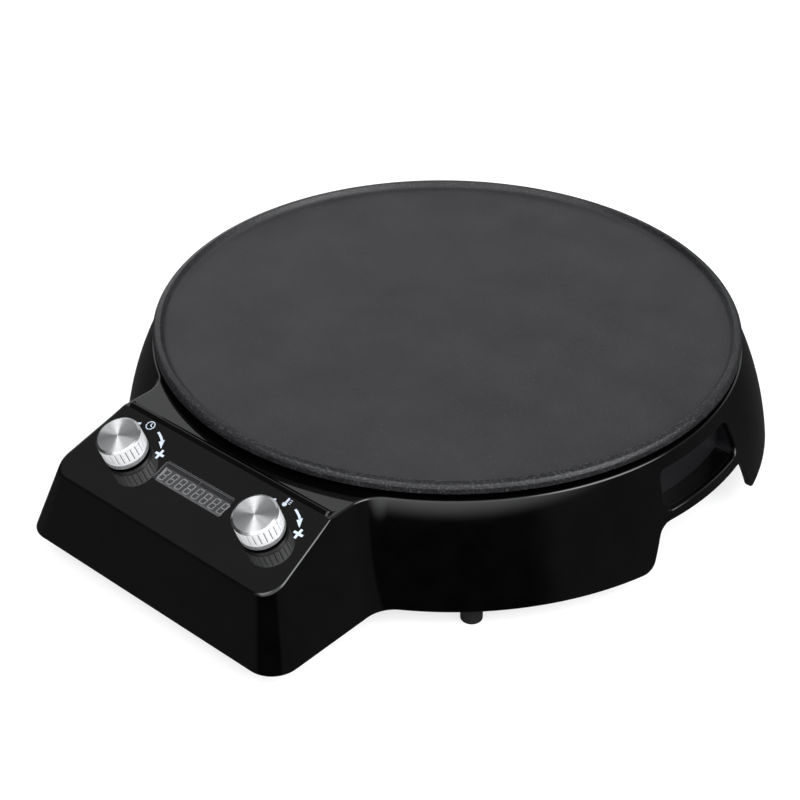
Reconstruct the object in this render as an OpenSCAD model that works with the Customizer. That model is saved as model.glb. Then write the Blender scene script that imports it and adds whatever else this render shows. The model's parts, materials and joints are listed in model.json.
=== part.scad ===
// Electric crepe maker: a round griddle plate on a skirted base, with a sloped control box in front.
// +X is right, -Y is the front with the control box, +Z is up.
// The origin is on the countertop, at the middle of the whole footprint.

/* [Griddle plate] */
// Diameter over the plate's rim
plate_d = 330; // [310:1:360]
// Thickness of the plate under its cooking surface
plate_t = 4.5; // [3.5:0.1:5.5]
// Height of the rim above the cooking surface
rim_h = 2.2; // [1.5:0.1:3]
// Width of the rim's level crest
rim_crest_w = 3.4; // [2.5:0.1:5]
// Width of the slope from the crest down to the cooking surface
rim_slope_w = 2.2; // [1.5:0.1:4]
// Rounding of the rim's outer edge
rim_edge_r = 1.2; // [0.6:0.1:1.6]
// Height of the rim's outer side
rim_side_h = 4.2; // [3.5:0.1:5]
// Height of the rim's top above the housing's deck
rim_stand = 7.7; // [7:0.1:11]
// Diameter of the four bosses that carry the plate
plate_boss_d = 16; // [13:0.5:20]
// Distance of those bosses from the plate's axis
plate_boss_at = 95; // [93:1:97]

/* [Heating element] */
// Diameter of the heating element's tube
element_d = 6.6; // [6:0.1:7.5]
// Radius of the element's outer loop
outer_loop_r = 118; // [115:1:122]
// Radius of the element's inner loop
inner_loop_r = 72; // [68:1:75]
// Angle left open at the front, between the element's ends and its turn
element_gap = 50; // [46:1:60]
// Width of the cast track that holds each loop
track_w = 14; // [12:0.5:16]
// Depth of that track under the plate
track_h = 7; // [7:0.1:8]
// Bend radius of the element's ends
element_bend_r = 8; // [7:0.5:10]
// Thickness of the clamp straps under the element
strap_t = 1.5; // [1:0.1:2]

/* [Heat shield] */
// Thickness of the heat shield's sheet
shield_t = 1; // [0.8:0.1:1.5]
// Depth of the heat shield's floor below the deck
shield_depth = 19; // [18:0.5:21]
// Width of the heat shield's flange
shield_flange_w = 17; // [15:0.5:19]

/* [Housing] */
// Height of the housing, from its lower edge to its deck
housing_h = 56; // [54:0.5:60]
// Wall of the housing
wall = 3; // [2.5:0.1:3.5]
// How far the skirt's lower edge stands out past the plate
skirt_flare = 19.2; // [17:0.1:22]
// Radius of the skirt's bulging wall
bulge_r = 169; // [160:1:185]
// Lean of the skirt's wall from upright, at its lower edge
skirt_draft = 8.2; // [7:0.1:10]
// How far the plate's rim laps over the housing's top ring
rim_lap = 7.5; // [7:0.1:9]
// Depth of the shelf that carries the heat shield, below the deck
shelf_depth = 13; // [12:0.5:14]
// Width of that shelf
shelf_w = 14.5; // [13:0.5:16]

/* [Control box] */
// Depth of the deck between the plate's rim and the control panel
deck_depth = 6.8; // [6:0.1:10]
// Length of the control panel down its slope
panel_len = 55.2; // [53:0.1:58]
// Slope of the control panel
panel_tilt = 21; // [19:0.5:24]
// Height of the panel's top edge above the deck
panel_lift = 1.1; // [0.6:0.1:1.5]
// Width of the control box at its lower edge
box_w = 187.2; // [182:0.1:200]
// Lean of the box's sides from upright
side_lean = 18.2; // [16:0.1:20]
// Lean of the box's front from upright
front_lean = 17.5; // [15:0.1:20]
// Radius of the box's front corners at its lower edge, seen from above
corner_r = 15.5; // [12:0.5:18]
// Radius of those corners at the panel's front edge
corner_top_r = 12; // [8:0.5:14]
// Radius of the hollow blend between box and skirt
blend_r = 18; // [14:0.5:22]

/* [Controls] */
// Distance between the two knobs
knob_spacing = 99.6; // [97:0.1:103]
// Distance of the knobs from the panel's top edge
knob_down = 25.7; // [25:0.1:27]
// Diameter of a knob
knob_d = 24.4; // [23.5:0.1:26]
// Height of a knob's top above the panel
knob_h = 14.4; // [13.5:0.1:16]
// Gap between a knob and the panel
knob_gap = 1; // [0.8:0.1:1.2]
// Number of grip grooves round a knob
knob_grooves = 26; // [20:1:40]
// Diameter of the encoder shafts
shaft_d = 6; // [5:0.1:6.3]
// Running clearance of a shaft in its bushing, on the radius
shaft_play = 0.05; // [0.02:0.01:0.1]
// Length of the display window
window_len = 50.2; // [46:0.1:54]
// Height of the display window
window_h = 12.8; // [11:0.1:13.5]
// Sideways place of the display window, from the middle of the panel
window_x = -1.1; // [-3:0.1:1]
// Distance of the display window's middle from the panel's top edge
window_down = 24.6; // [24:0.1:26]

/* [Handles] */
// Rearward shift of the handles from the plate's axis
handle_shift = 2.5; // [0:0.5:5]
// Width of the hand window at its lower edge
pocket_w = 69.6; // [64:0.1:74]
// Height of the hand window
pocket_h = 20.7; // [18:0.1:22]
// Height of the grab bar between the hand window and the arch below it
bar_h = 5.1; // [4:0.1:6.5]
// Height of the arch in the skirt's lower edge
arch_h = 23.4; // [21:0.1:25]
// Width of the arch at its top
arch_w = 74.8; // [70:0.1:80]
// Slant of the arch's sides and of the window's ends, as width lost per height on each side
arch_slant = 0.4; // [0.3:0.01:0.5]
// Slant of the hand window's ends, in the same measure
pocket_slant = 0.21; // [0.1:0.01:0.3]
// Rounding of the arch's corners
arch_r = 9; // [6:0.5:11]
// Rounding of the hand window's corners
pocket_r = 5; // [3:0.5:7]
// Depth of the hand window's back wall behind the plate's edge
pocket_inset = 0.5; // [0:0.1:1.5]
// Wall of the handle cups
cup_wall = 2.5; // [2:0.1:2.8]
// Depth of the finger recess under the grab bar, inward from the plate's edge
recess_depth = 17; // [15:0.5:19]
// Length of the finger recess beyond the arch, on each side
recess_side = 28; // [0:1:34]

/* [Base] */
// Height of the feet below the housing
foot_h = 12.5; // [10:0.5:15]
// Diameter of the feet
foot_d = 11.6; // [11:0.1:13]
// Distance of the feet inward from the skirt's lower edge
foot_inset = 10.7; // [10:0.1:13]
// Thickness of the base cover
cover_t = 2.5; // [2:0.1:3]
// Depth of the base cover's underside above the housing's lower edge
cover_recess = 1; // [0.5:0.1:2]
// Clearance round the base cover
cover_gap = 0.5; // [0.3:0.1:1]

/* [Power inlet] */
// Width of the inlet's flange
inlet_w = 50; // [48:0.5:52]
// Height of the inlet's flange
inlet_h = 24; // [22:0.5:26]
// Thickness of the inlet's flange
inlet_t = 2.5; // [2:0.1:3]
// Distance between the inlet's two screws
inlet_pitch = 40; // [40:0.5:42]
// Margin of the recess round the inlet's flange
bay_margin = 3; // [2:0.5:4]
// Distance of the recess's back wall from the plate's axis, less the plate's radius
bay_offset = 0; // [-2:0.5:2]

/* [Electronics] */
// Thickness of the circuit boards
board_t = 1.6; // [1.2:0.1:2]
// Width of the control board
control_board_w = 130; // [126:1:134]
// Height of the control board along the slope
control_board_h = 36; // [34:1:38]
// Height of an encoder's body
encoder_h = 7; // [6.5:0.1:8]
// Width of an encoder's body
encoder_w = 13; // [12:0.5:14]
// Diameter of the encoder's threaded bushing
bushing_d = 7; // [7:0.1:8]
// Width of the power board
power_board_w = 110; // [104:1:120]
// Depth of the power board, front to back
power_board_l = 50; // [48:1:52]
// Height of the power board's pillars
pillar_h = 4.5; // [4:0.5:6]
// Diameter of the mains wires over their insulation
wire_d = 2.4; // [1.8:0.1:3]

/* [Hidden] */
$fn = 96;

// Clearance of a close fit and of a loose seat, and the reach of cuts past a face
fit_gap = 0.05;
seat_gap = 0.2;
overlap = 1;

// Levels above the countertop
base_z = foot_h;
cover_z = base_z + cover_recess;
floor_z = cover_z + cover_t;
deck_z = base_z + housing_h;
rim_z = deck_z + rim_stand;
cook_z = rim_z - rim_h;
under_z = cook_z - plate_t;
shelf_z = deck_z - shelf_depth;
shield_z = deck_z - shield_depth;
track_z = under_z - track_h;
element_z = track_z + element_d / 2 + fit_gap;
crease_z = deck_z + panel_lift;

// Radii about the plate's axis
plate_r = plate_d / 2;
skirt_r = plate_r + skirt_flare;
well_r = plate_r - rim_lap;
shelf_r = well_r + wall - shelf_w;
foot_at = skirt_r - foot_inset;
bulge_x = skirt_r - bulge_r * cos(skirt_draft);
bulge_z = base_z - bulge_r * sin(skirt_draft);

// Plan of the control box, forward from the plate's axis
crease_y = -(plate_r + deck_depth);
panel_front_z = crease_z - panel_len * sin(panel_tilt);
front_reach = -crease_y + panel_len * cos(panel_tilt) + (panel_front_z - base_z) * tan(front_lean);
bead_w = 3;
// How deep the hollow blends sink into the walls that they join
blend_sink = 0.12;
// The plate's axis lies behind the origin, which is at the middle of the footprint
plate_y = (front_reach - skirt_r) / 2;

// Screws that cut their own thread in posts, and the bolts that hold the plate
post_r = 4;
screw_r = 1.5;
screw_hole_r = screw_r + 0.2;
pilot_r = 1.45;
pilot_depth = 13;
head_r = 2.8;
head_t = 2;
cover_grip = 8;
foot_grip = 11;
strap_grip = 6;
shield_screw_len = 10;
shield_post_h = 8;
bolt_r = 2.5;
bolt_len = 14;
bolt_head_r = 4.6;
bolt_head_t = 3.5;
washer_r = 5.5;
washer_t = 1;
foot_bore_r = 3;
foot_bore_h = 4;
post_angles = [62, 118, -62, -118];
post_at = well_r - post_r - 0.5;
shield_screw_angles = [27, 75, 105, 153, 225, 315];
shield_screw_at = well_r - shield_flange_w / 2 + 1;
foot_angles = [45, 135, -45, -135];
boss_angles = [45, 135, 225, 315];
strap_angles = [0, 90, 180];
loop_start = -90 + element_gap / 2 - 7;
loop_turn = 360 - element_gap;
turn_r = (outer_loop_r - inner_loop_r) / 2;
turn_at = (outer_loop_r + inner_loop_r) / 2;
pin_r = 1.25;
insulator_h = 7;
terminal_size = [6.4, 3.6, 8];
pin_end_z = shield_z - shield_t - 14;
terminal_z = pin_end_z - 1;

// ---------- helpers ----------

// Moves things from the plate's axis to the part's origin
module at_axis() {
    translate([0, plate_y, 0]) children();
}

// Places things on the control panel: x across, s down the slope, local +Z out of the panel
module on_panel(x = 0, s = 0) {
    translate([x, crease_y - s * cos(panel_tilt), crease_z - s * sin(panel_tilt)])
        rotate([panel_tilt, 0, 0]) children();
}

module polar(angle, r) {
    rotate([0, 0, angle]) translate([r, 0, 0]) children();
}

module ring(r_out, r_in, h) {
    difference() {
        cylinder(r = r_out, h = h);
        translate([0, 0, -overlap]) cylinder(r = r_in, h = h + 2 * overlap);
    }
}

module rounded_rect(w, h, r) {
    square([w - 2 * r, h], center = true);
    square([w, h - 2 * r], center = true);
    for (sx = [-1, 1], sy = [-1, 1]) translate([sx * (w / 2 - r), sy * (h / 2 - r)]) circle(r = r);
}

module rounded_block(w, l, h, r) {
    linear_extrude(height = h) rounded_rect(w, l, r);
}

// A pan-head screw whose head sits at z = 0 and whose shank runs up
module screw(len, r = screw_r, hr = head_r, ht = head_t) {
    translate([0, 0, -ht]) cylinder(r = hr, h = ht);
    cylinder(r = r, h = len);
}

function unit(v) = v / norm(v);

// Points of the arc that rounds corner p between neighbours a and b
function corner(a, p, b, r, n = 6) =
    r == 0 ? [p] :
    let (u = unit(a - p), v = unit(b - p), half = acos(u * v) / 2,
         c = p + unit(u + v) * r / sin(half),
         s = p + u * r / tan(half) - c, e = p + v * r / tan(half) - c,
         a0 = atan2(s.y, s.x), turn = (atan2(e.y, e.x) - a0 + 540) % 360 - 180)
    [for (i = [0:n]) c + r * [cos(a0 + turn * i / n), sin(a0 + turn * i / n)]];

function rounded(points, radii) =
    let (n = len(points))
    [for (i = [0:n - 1]) each corner(points[(i + n - 1) % n], points[i], points[(i + 1) % n], radii[i])];

// Directions of a route at its points, and side vectors carried along it without twist
function headings(p) =
    let (n = len(p)) [for (i = [0:n - 1]) unit(p[min(i + 1, n - 1)] - p[max(i - 1, 0)])];

function square_to(t, v) = unit(v - (v * t) * t);

function side_vectors(t) =
    [for (i = 0, v = square_to(t[0], [1, 0.1, 0.02]); i < len(t);
          i = i + 1, v = i < len(t) ? square_to(t[i], v) : v) v];

// A wire of radius r along a list of points
module wire(points, r, sides = 8) {
    t = headings(points);
    v = side_vectors(t);
    loft([for (i = [0:len(points) - 1]) [for (k = [0:sides - 1])
        points[i] + r * (v[i] * cos(360 * k / sides) + cross(t[i], v[i]) * sin(360 * k / sides))]]);
}

// A solid through rings of points, each ring listed anticlockwise from above
module loft(rings) {
    n = len(rings[0]);
    m = len(rings);
    polyhedron(
        points = [for (ring = rings) each ring],
        faces = concat(
            [[for (i = [0:n - 1]) i]],
            [[for (i = [n - 1:-1:0]) (m - 1) * n + i]],
            [for (k = [0:m - 2], i = [0:n - 1])
                [k * n + i, (k + 1) * n + i, (k + 1) * n + (i + 1) % n, k * n + (i + 1) % n]]),
        convexity = 4);
}

// ---------- griddle plate and what hangs from it ----------

module rim_section() {
    foot_r = plate_r - rim_edge_r - rim_crest_w - rim_slope_w;
    difference() {
        union() {
            polygon([
                [0, under_z], [well_r - 2, under_z], [plate_r - 1.5, rim_z - rim_side_h - 0.8],
                [plate_r, rim_z - rim_side_h], [plate_r, rim_z - rim_edge_r],
                [plate_r - rim_edge_r, rim_z - rim_edge_r], [plate_r - rim_edge_r, rim_z],
                [foot_r + rim_slope_w, rim_z], [foot_r, cook_z], [0, cook_z]]);
            translate([plate_r - rim_edge_r, rim_z - rim_edge_r]) circle(r = rim_edge_r);
        }
        translate([-plate_r, 0]) square([plate_r, 2 * rim_z]);
    }
}

module track(loop_r) {
    rotate([0, 0, loop_start]) rotate_extrude(angle = loop_turn)
        translate([loop_r - track_w / 2, track_z]) square([track_w, track_h + overlap]);
}

module track_groove(loop_r) {
    groove_r = element_d / 2 + fit_gap;
    rotate([0, 0, loop_start - 1]) rotate_extrude(angle = loop_turn + 2) {
        translate([loop_r, element_z]) circle(r = groove_r);
        translate([loop_r - groove_r, track_z - overlap]) square([2 * groove_r, element_z - track_z + overlap]);
    }
}

// Small bosses under the plate: places of the strap, bracket and clip screws
strap_at = turn_at;
sensor_half = 16;
fuse_y = 33;
clip_y = 44;
small_boss_r = 5;
clamp_z = track_z;
small_bosses = concat(
    [for (a = strap_angles) [strap_at * cos(a), strap_at * sin(a)]],
    [[-sensor_half, 0], [sensor_half, 0], [0, clip_y]]);

module griddle_plate() at_axis() color([0.27, 0.27, 0.28]) {
    difference() {
        union() {
            rotate_extrude($fn = 180) rim_section();
            track(outer_loop_r);
            track(inner_loop_r);
            for (a = boss_angles) polar(a, plate_boss_at)
                translate([0, 0, shield_z]) cylinder(r = plate_boss_d / 2, h = under_z - shield_z + overlap);
            for (p = small_bosses) translate([p.x, p.y, clamp_z])
                cylinder(r = small_boss_r, h = under_z - clamp_z + overlap);
        }
        track_groove(outer_loop_r);
        track_groove(inner_loop_r);
        for (a = boss_angles) polar(a, plate_boss_at)
            translate([0, 0, shield_z - overlap]) cylinder(r = bolt_r + fit_gap, h = bolt_len + overlap);
        for (p = small_bosses) translate([p.x, p.y, clamp_z - overlap])
            cylinder(r = screw_r + fit_gap, h = strap_grip + 0.5 + overlap);
    }
}

module element_end(loop_r) {
    rotate([0, 0, loop_start]) translate([loop_r, 0, element_z - element_bend_r]) {
        rotate([90, 0, -90]) rotate_extrude(angle = 90) translate([element_bend_r, 0]) circle(d = element_d);
        sheath_end = shield_z + insulator_h / 2;
        drop = element_z - element_bend_r - sheath_end;
        translate([0, -element_bend_r, -drop]) cylinder(d = element_d, h = drop);
        translate([0, -element_bend_r, pin_end_z - element_z + element_bend_r])
            cylinder(r = pin_r, h = sheath_end - pin_end_z + overlap);
    }
}

module heating_element() at_axis() color([0.45, 0.44, 0.43]) {
    for (loop_r = [outer_loop_r, inner_loop_r]) {
        rotate([0, 0, loop_start]) rotate_extrude(angle = loop_turn)
            translate([loop_r, element_z]) circle(d = element_d);
        element_end(loop_r);
    }
    rotate([0, 0, loop_start + loop_turn]) translate([turn_at, 0, element_z])
        rotate_extrude(angle = 180) translate([turn_r, 0]) circle(d = element_d);
}

// Places children at the foot of each of the element's two ends
module at_element_ends() {
    for (loop_r = [outer_loop_r, inner_loop_r])
        rotate([0, 0, loop_start]) translate([loop_r, -element_bend_r, 0]) children();
}

module element_insulators() at_axis() color([0.93, 0.92, 0.88])
    at_element_ends() translate([0, 0, shield_z - insulator_h / 2])
        ring(4.8, pin_r + fit_gap, insulator_h);

module element_terminals() at_axis() color([0.8, 0.68, 0.35])
    at_element_ends() translate([0, 0, terminal_z]) difference() {
        translate([-terminal_size.x / 2, -terminal_size.y / 2, 0]) cube(terminal_size);
        translate([0, 0, 1]) cylinder(r = pin_r + fit_gap, h = terminal_size.z);
    }

module element_straps() at_axis() color([0.7, 0.7, 0.72])
    for (a = strap_angles) polar(a, strap_at) translate([0, 0, clamp_z - strap_t]) difference() {
        rounded_block(outer_loop_r - inner_loop_r + element_d + 4, 12, strap_t, 2);
        translate([0, 0, -overlap]) cylinder(r = screw_hole_r, h = strap_t + 2 * overlap);
    }

module strap_screws() at_axis() color([0.75, 0.75, 0.77])
    for (p = small_bosses) translate([p.x, p.y, clamp_z - strap_t]) screw(strap_t + strap_grip);

sensor_r = 7;
sensor_tail = [6, 3, 2.4];
sensor_tail_y = -sensor_r - sensor_tail.y;
module temperature_sensor() at_axis() color([0.78, 0.76, 0.7]) {
    translate([0, 0, clamp_z]) cylinder(r = sensor_r, h = under_z - clamp_z);
    translate([-sensor_tail.x / 2, sensor_tail_y, clamp_z + 1]) cube(sensor_tail + [0, sensor_r / 2, 0]);
}

module sensor_bracket() at_axis() color([0.7, 0.7, 0.72])
    translate([0, 0, clamp_z - strap_t]) difference() {
        rounded_block(2 * sensor_half + 10, 10, strap_t, 2);
        for (sx = [-1, 1]) translate([sx * sensor_half, 0, -overlap])
            cylinder(r = screw_hole_r, h = strap_t + 2 * overlap);
    }

fuse_r = (under_z - clamp_z) / 2;
module thermal_fuse() at_axis() color([0.85, 0.82, 0.6])
    translate([-9, fuse_y, clamp_z + fuse_r]) rotate([0, 90, 0]) {
        cylinder(r = fuse_r, h = 18);
        translate([0, 0, -6]) cylinder(r = 0.6, h = 30);
    }

module fuse_clip() at_axis() color([0.7, 0.7, 0.72])
    translate([0, (fuse_y + clip_y) / 2, clamp_z - strap_t]) difference() {
        rounded_block(10, clip_y - fuse_y + 10, strap_t, 2);
        translate([0, (clip_y - fuse_y) / 2, -overlap]) cylinder(r = screw_hole_r, h = strap_t + 2 * overlap);
    }

// ---------- heat shield ----------

shield_r = well_r - shield_flange_w;
// Hole that lets the sensor's wires through the shield
grommet_y = -24;
grommet_r = 4;

module heat_shield() at_axis() color([0.74, 0.75, 0.77]) difference() {
    union() {
        translate([0, 0, shield_z - shield_t]) cylinder(r = shield_r, h = shield_t);
        translate([0, 0, shield_z - shield_t]) ring(shield_r, shield_r - shield_t, shelf_z - shield_z + 2 * shield_t);
        translate([0, 0, shelf_z]) ring(well_r - 0.5, shield_r - shield_t, shield_t);
    }
    for (a = boss_angles) polar(a, plate_boss_at)
        translate([0, 0, shield_z - shield_t - overlap]) cylinder(r = bolt_r + 0.25, h = shield_t + 2 * overlap);
    for (a = shield_screw_angles) polar(a, shield_screw_at)
        translate([0, 0, shelf_z - overlap]) cylinder(r = screw_r + 0.25, h = shield_t + 2 * overlap);
    at_element_ends() translate([0, 0, shield_z - shield_t - overlap]) cylinder(r = 5, h = shield_t + 2 * overlap);
    translate([0, grommet_y, shield_z - shield_t - overlap]) cylinder(r = grommet_r, h = shield_t + 2 * overlap);
}

module plate_bolts() at_axis() color([0.72, 0.72, 0.74])
    for (a = boss_angles) polar(a, plate_boss_at) translate([0, 0, shield_z - shield_t - washer_t]) {
        translate([0, 0, -bolt_head_t]) cylinder(r = bolt_head_r, h = bolt_head_t, $fn = 6);
        cylinder(r = bolt_r, h = bolt_len);
    }

module plate_washers() at_axis() color([0.6, 0.6, 0.62])
    for (a = boss_angles) polar(a, plate_boss_at) translate([0, 0, shield_z - shield_t - washer_t])
        ring(washer_r, bolt_r + 0.1, washer_t);

module shield_screws() at_axis() color([0.72, 0.72, 0.74])
    for (a = shield_screw_angles) polar(a, shield_screw_at) translate([0, 0, shelf_z + shield_t])
        mirror([0, 0, 1]) screw(shield_screw_len);

// ---------- housing ----------

// Half section of everything inside the skirt's outer surface, drawn inward by inset
module skirt_section(inset = 0, low = base_z, high = deck_z) {
    intersection() {
        translate([bulge_x, bulge_z]) circle(r = bulge_r - inset, $fn = 360);
        translate([0, low]) square([2 * skirt_r, high - low]);
    }
}

module skirt_solid(inset = 0, low = base_z, high = deck_z) {
    rotate_extrude($fn = 180) skirt_section(inset, low, high);
}

// Radius of the box's front corners at level z
function corner_at(z) = corner_r + (corner_top_r - corner_r) * (z - base_z) / (panel_front_z - base_z);

// The box's leaning walls, from level low to level high
module box_walls(inset, low, high) {
    side_in = inset / cos(side_lean);
    front_in = inset / cos(front_lean);
    hull() {
        for (z = [low, high], sx = [-1, 1]) {
            r = corner_at(z) - inset;
            half = box_w / 2 - (z - base_z) * tan(side_lean) - side_in;
            front = -front_reach + (z - base_z) * tan(front_lean) + front_in;
            translate([sx * (half - r), front + r, z]) cylinder(r = r, h = 0.01, $fn = 40);
            translate([sx * half - (sx > 0 ? 1 : 0), crease_y / 2, z]) cube([1, 1, 0.01]);
        }
    }
}

// Side view of what lies below the panel and the deck
module box_profile(inset) {
    drop = inset / cos(panel_tilt);
    far = crease_y - 2 * panel_len;
    polygon([
        [far, 0], [far, crease_z - drop - (crease_y - far) * tan(panel_tilt)],
        [crease_y, crease_z - drop],
        [crease_y + bead_w, crease_z - drop], [crease_y + bead_w, deck_z - inset],
        [crease_y / 3, deck_z - inset], [crease_y / 3, 0]]);
}

module box_solid(inset = 0, low = base_z) {
    intersection() {
        box_walls(inset, low, crease_z + 1);
        translate([-box_w, 0, 0]) rotate([90, 0, 90]) linear_extrude(height = 2 * box_w) box_profile(inset);
    }
}

// Outline at level z of the hollow blend between the box's right side and the skirt
function blend_ring(z, n = 8) =
    let (half = box_w / 2 - (z - base_z) * tan(side_lean),
         r = bulge_x + sqrt(pow(bulge_r, 2) - pow(z - bulge_z, 2)),
         c = [half + blend_r, -sqrt(pow(r + blend_r, 2) - pow(half + blend_r, 2))],
         a1 = atan2(-c.y, -c.x), lap = wall / 2, reach = blend_r + blend_sink,
         inner = [half - lap, -sqrt(pow(r - lap, 2) - pow(half - lap, 2))])
    concat(
        [[half - lap, c.y, z]],
        [for (i = [0:n]) let (a = 180 + (a1 - 180) * i / n) [c.x + reach * cos(a), c.y + reach * sin(a), z]],
        [[c.x * (r - lap) / norm(c), c.y * (r - lap) / norm(c), z], [inner.x, inner.y, z]]);

module box_blends() {
    steps = 8;
    for (side = [0, 1]) mirror([side, 0, 0])
        loft([for (k = [0:steps]) blend_ring(base_z - overlap + (housing_h + overlap) * k / steps)]);
}

// Outlines of the hand window and of the arch, as seen along X
arch_top = base_z + arch_h;
pocket_low = arch_top + bar_h;
pocket_high = pocket_low + pocket_h;

function pocket_points(grow = 0) =
    let (low_half = pocket_w / 2 + grow, high_half = pocket_w / 2 - pocket_slant * pocket_h + grow)
    rounded([[-low_half, pocket_low - grow], [low_half, pocket_low - grow],
             [high_half, pocket_high + grow], [-high_half, pocket_high + grow]],
            [for (i = [0:3]) pocket_r + grow]);

function arch_half(z) = arch_w / 2 + (arch_top - z) * arch_slant;

// The arch as it is cut in the skirt, with its lower corners rounded outward
function arch_points() =
    let (low = arch_half(base_z), out = low + 3 * arch_r)
    rounded([[-out, 0], [out, 0], [out, base_z], [low, base_z], [arch_w / 2, arch_top],
             [-arch_w / 2, arch_top], [-low, base_z], [-out, base_z]],
            [0, 0, 0, arch_r, arch_r, arch_r, arch_r, 0]);

// The recess behind the arch, with straight sides from level low up to level high
function recess_points(grow = 0, low = cover_z, high = arch_top) =
    let (low_half = arch_half(low) + recess_side + grow, high_half = arch_half(high) + recess_side + grow)
    rounded([[-low_half, low], [low_half, low], [high_half, high], [-high_half, high]], [0, 0, arch_r, arch_r]);

// Pushes an outline in the YZ plane out along +X, from x = from
module handle_prism(points, from) {
    translate([from, handle_shift, 0]) rotate([90, 0, 90])
        linear_extrude(height = skirt_r + 5 - from) polygon(points);
}

pocket_back_r = plate_r - pocket_inset;
recess_x = plate_r - recess_depth;

// Recess at the back that holds the power inlet
bay_y = plate_r + bay_offset;
bay_w = inlet_w + 2 * bay_margin;
bay_h = inlet_h + 2 * bay_margin;
inlet_z = base_z + 22;

module bay_block(grow, from, to) {
    translate([0, to, inlet_z]) rotate([90, 0, 0])
        rounded_block(bay_w + 2 * grow, bay_h + 2 * grow, to - from, 3 + grow);
}

inlet_body_w = 27.8;
inlet_body_h = 19.8;

box_post_x = box_w / 2 - 22;
box_post_y = -front_reach + 26;
foot_post_h = 22;
control_post_s = [knob_down - control_board_h / 2 + 4, knob_down + control_board_h / 2 - 4];
control_post_x = control_board_w / 2 - 5;
encoder_top = -wall - 0.3;
board_top = encoder_top - encoder_h;
board_post_r = 3;
board_pilot_r = 1;
board_screw_r = 1.1;
board_screw_len = 6;

// Level of the panel's outer face at a place y in front of the plate
function panel_z(y) = crease_z - (crease_y - y) * tan(panel_tilt);

module panel_posts(r, from, to) {
    for (sx = [-1, 1], s = control_post_s) on_panel(sx * control_post_x, s)
        translate([0, 0, from]) cylinder(r = r, h = to - from);
}

module housing_posts() {
    for (a = post_angles) polar(a, post_at)
        translate([0, 0, floor_z]) cylinder(r = post_r, h = shelf_z - wall - floor_z + overlap);
    for (a = shield_screw_angles) polar(a, shield_screw_at)
        translate([0, 0, shelf_z - wall - shield_post_h]) cylinder(r = post_r, h = shield_post_h + overlap);
    for (a = foot_angles) polar(a, foot_at)
        translate([0, 0, floor_z]) cylinder(r = post_r, h = foot_post_h);
    for (sx = [-1, 1]) translate([sx * box_post_x, box_post_y, floor_z])
        cylinder(r = post_r, h = panel_z(box_post_y) - wall - floor_z);
    panel_posts(board_post_r, board_top, -wall + overlap);
}

module housing_holes() {
    for (a = post_angles) polar(a, post_at)
        translate([0, 0, floor_z - overlap]) cylinder(r = pilot_r, h = pilot_depth + overlap);
    for (a = shield_screw_angles) polar(a, shield_screw_at)
        translate([0, 0, shelf_z - wall - shield_post_h + 1]) cylinder(r = pilot_r, h = shield_post_h + wall);
    for (a = foot_angles) polar(a, foot_at)
        translate([0, 0, floor_z - overlap]) cylinder(r = pilot_r, h = pilot_depth + overlap);
    for (sx = [-1, 1]) translate([sx * box_post_x, box_post_y, floor_z - overlap])
        cylinder(r = pilot_r, h = pilot_depth + overlap);
    panel_posts(board_pilot_r, board_top - overlap, -wall);
    for (sx = [-1, 1]) on_panel(sx * knob_spacing / 2, knob_down)
        translate([0, 0, -wall - overlap]) cylinder(r = bushing_d / 2 + 0.1, h = wall + 3 * overlap);
    on_panel(window_x, window_down) translate([0, 0, -wall - overlap])
        rounded_block(window_len, window_h, wall + 3 * overlap, 1.5);
}

module housing() at_axis() color([0.05, 0.05, 0.06]) difference() {
    union() {
        difference() {
            union() {
                skirt_solid(0, base_z - overlap);
                box_solid(0, base_z - overlap);
                box_blends();
            }
            skirt_solid(wall, 0, deck_z - wall);
            box_solid(wall, 0);
        }
        // The well that the plate covers, and the shelf in it
        translate([0, 0, shelf_z - wall]) ring(well_r + wall, shelf_r, deck_z - shelf_z + wall);
        intersection() {
            bay_block(cup_wall, bay_y - cup_wall, skirt_r);
            skirt_solid();
        }
        housing_posts();
    }
    translate([0, 0, shelf_z]) cylinder(r = well_r, h = deck_z);
    translate([0, 0, shelf_z - wall - overlap]) cylinder(r = shelf_r, h = deck_z);
    for (sx = [0, 1]) mirror([sx, 0, 0]) {
        difference() {
            handle_prism(pocket_points(), plate_r - 8);
            translate([0, 0, base_z]) cylinder(r = pocket_back_r - 1, h = housing_h);
        }
        handle_prism(arch_points(), recess_x);
    }
    bay_block(0, bay_y, skirt_r + 5);
    translate([0, bay_y + overlap, inlet_z]) rotate([90, 0, 0])
        rounded_block(inlet_body_w + 0.4, inlet_body_h + 0.4, cup_wall + 2 * overlap, 2);
    for (sx = [-1, 1]) translate([sx * inlet_pitch / 2, bay_y + overlap, inlet_z])
        rotate([90, 0, 0]) cylinder(r = screw_r + 0.1, h = cup_wall + 2 * overlap);
    housing_holes();
    // One level cut ends the skirt, the box and their blends
    cylinder(r = front_reach + skirt_r, h = base_z);
}

// Moulded cup that lines the right-hand hand window and the finger recess under it
module handle_cup() {
    skin = wall + seat_gap;
    difference() {
        intersection() {
            union() {
                difference() {
                    handle_prism(pocket_points(cup_wall), recess_x);
                    cylinder(r = pocket_back_r - cup_wall, h = rim_z);
                }
                handle_prism(recess_points(cup_wall, high = pocket_low), recess_x - cup_wall);
            }
            skirt_solid(skin, cover_z, deck_z - wall - seat_gap);
        }
        difference() {
            handle_prism(pocket_points(), recess_x);
            cylinder(r = pocket_back_r, h = rim_z);
        }
        handle_prism(recess_points(0, cover_z - overlap), recess_x);
    }
}

module right_handle_cup() at_axis() color([0.05, 0.05, 0.06]) handle_cup();
module left_handle_cup() at_axis() color([0.05, 0.05, 0.06]) mirror([1, 0, 0]) handle_cup();

// ---------- base ----------

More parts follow.
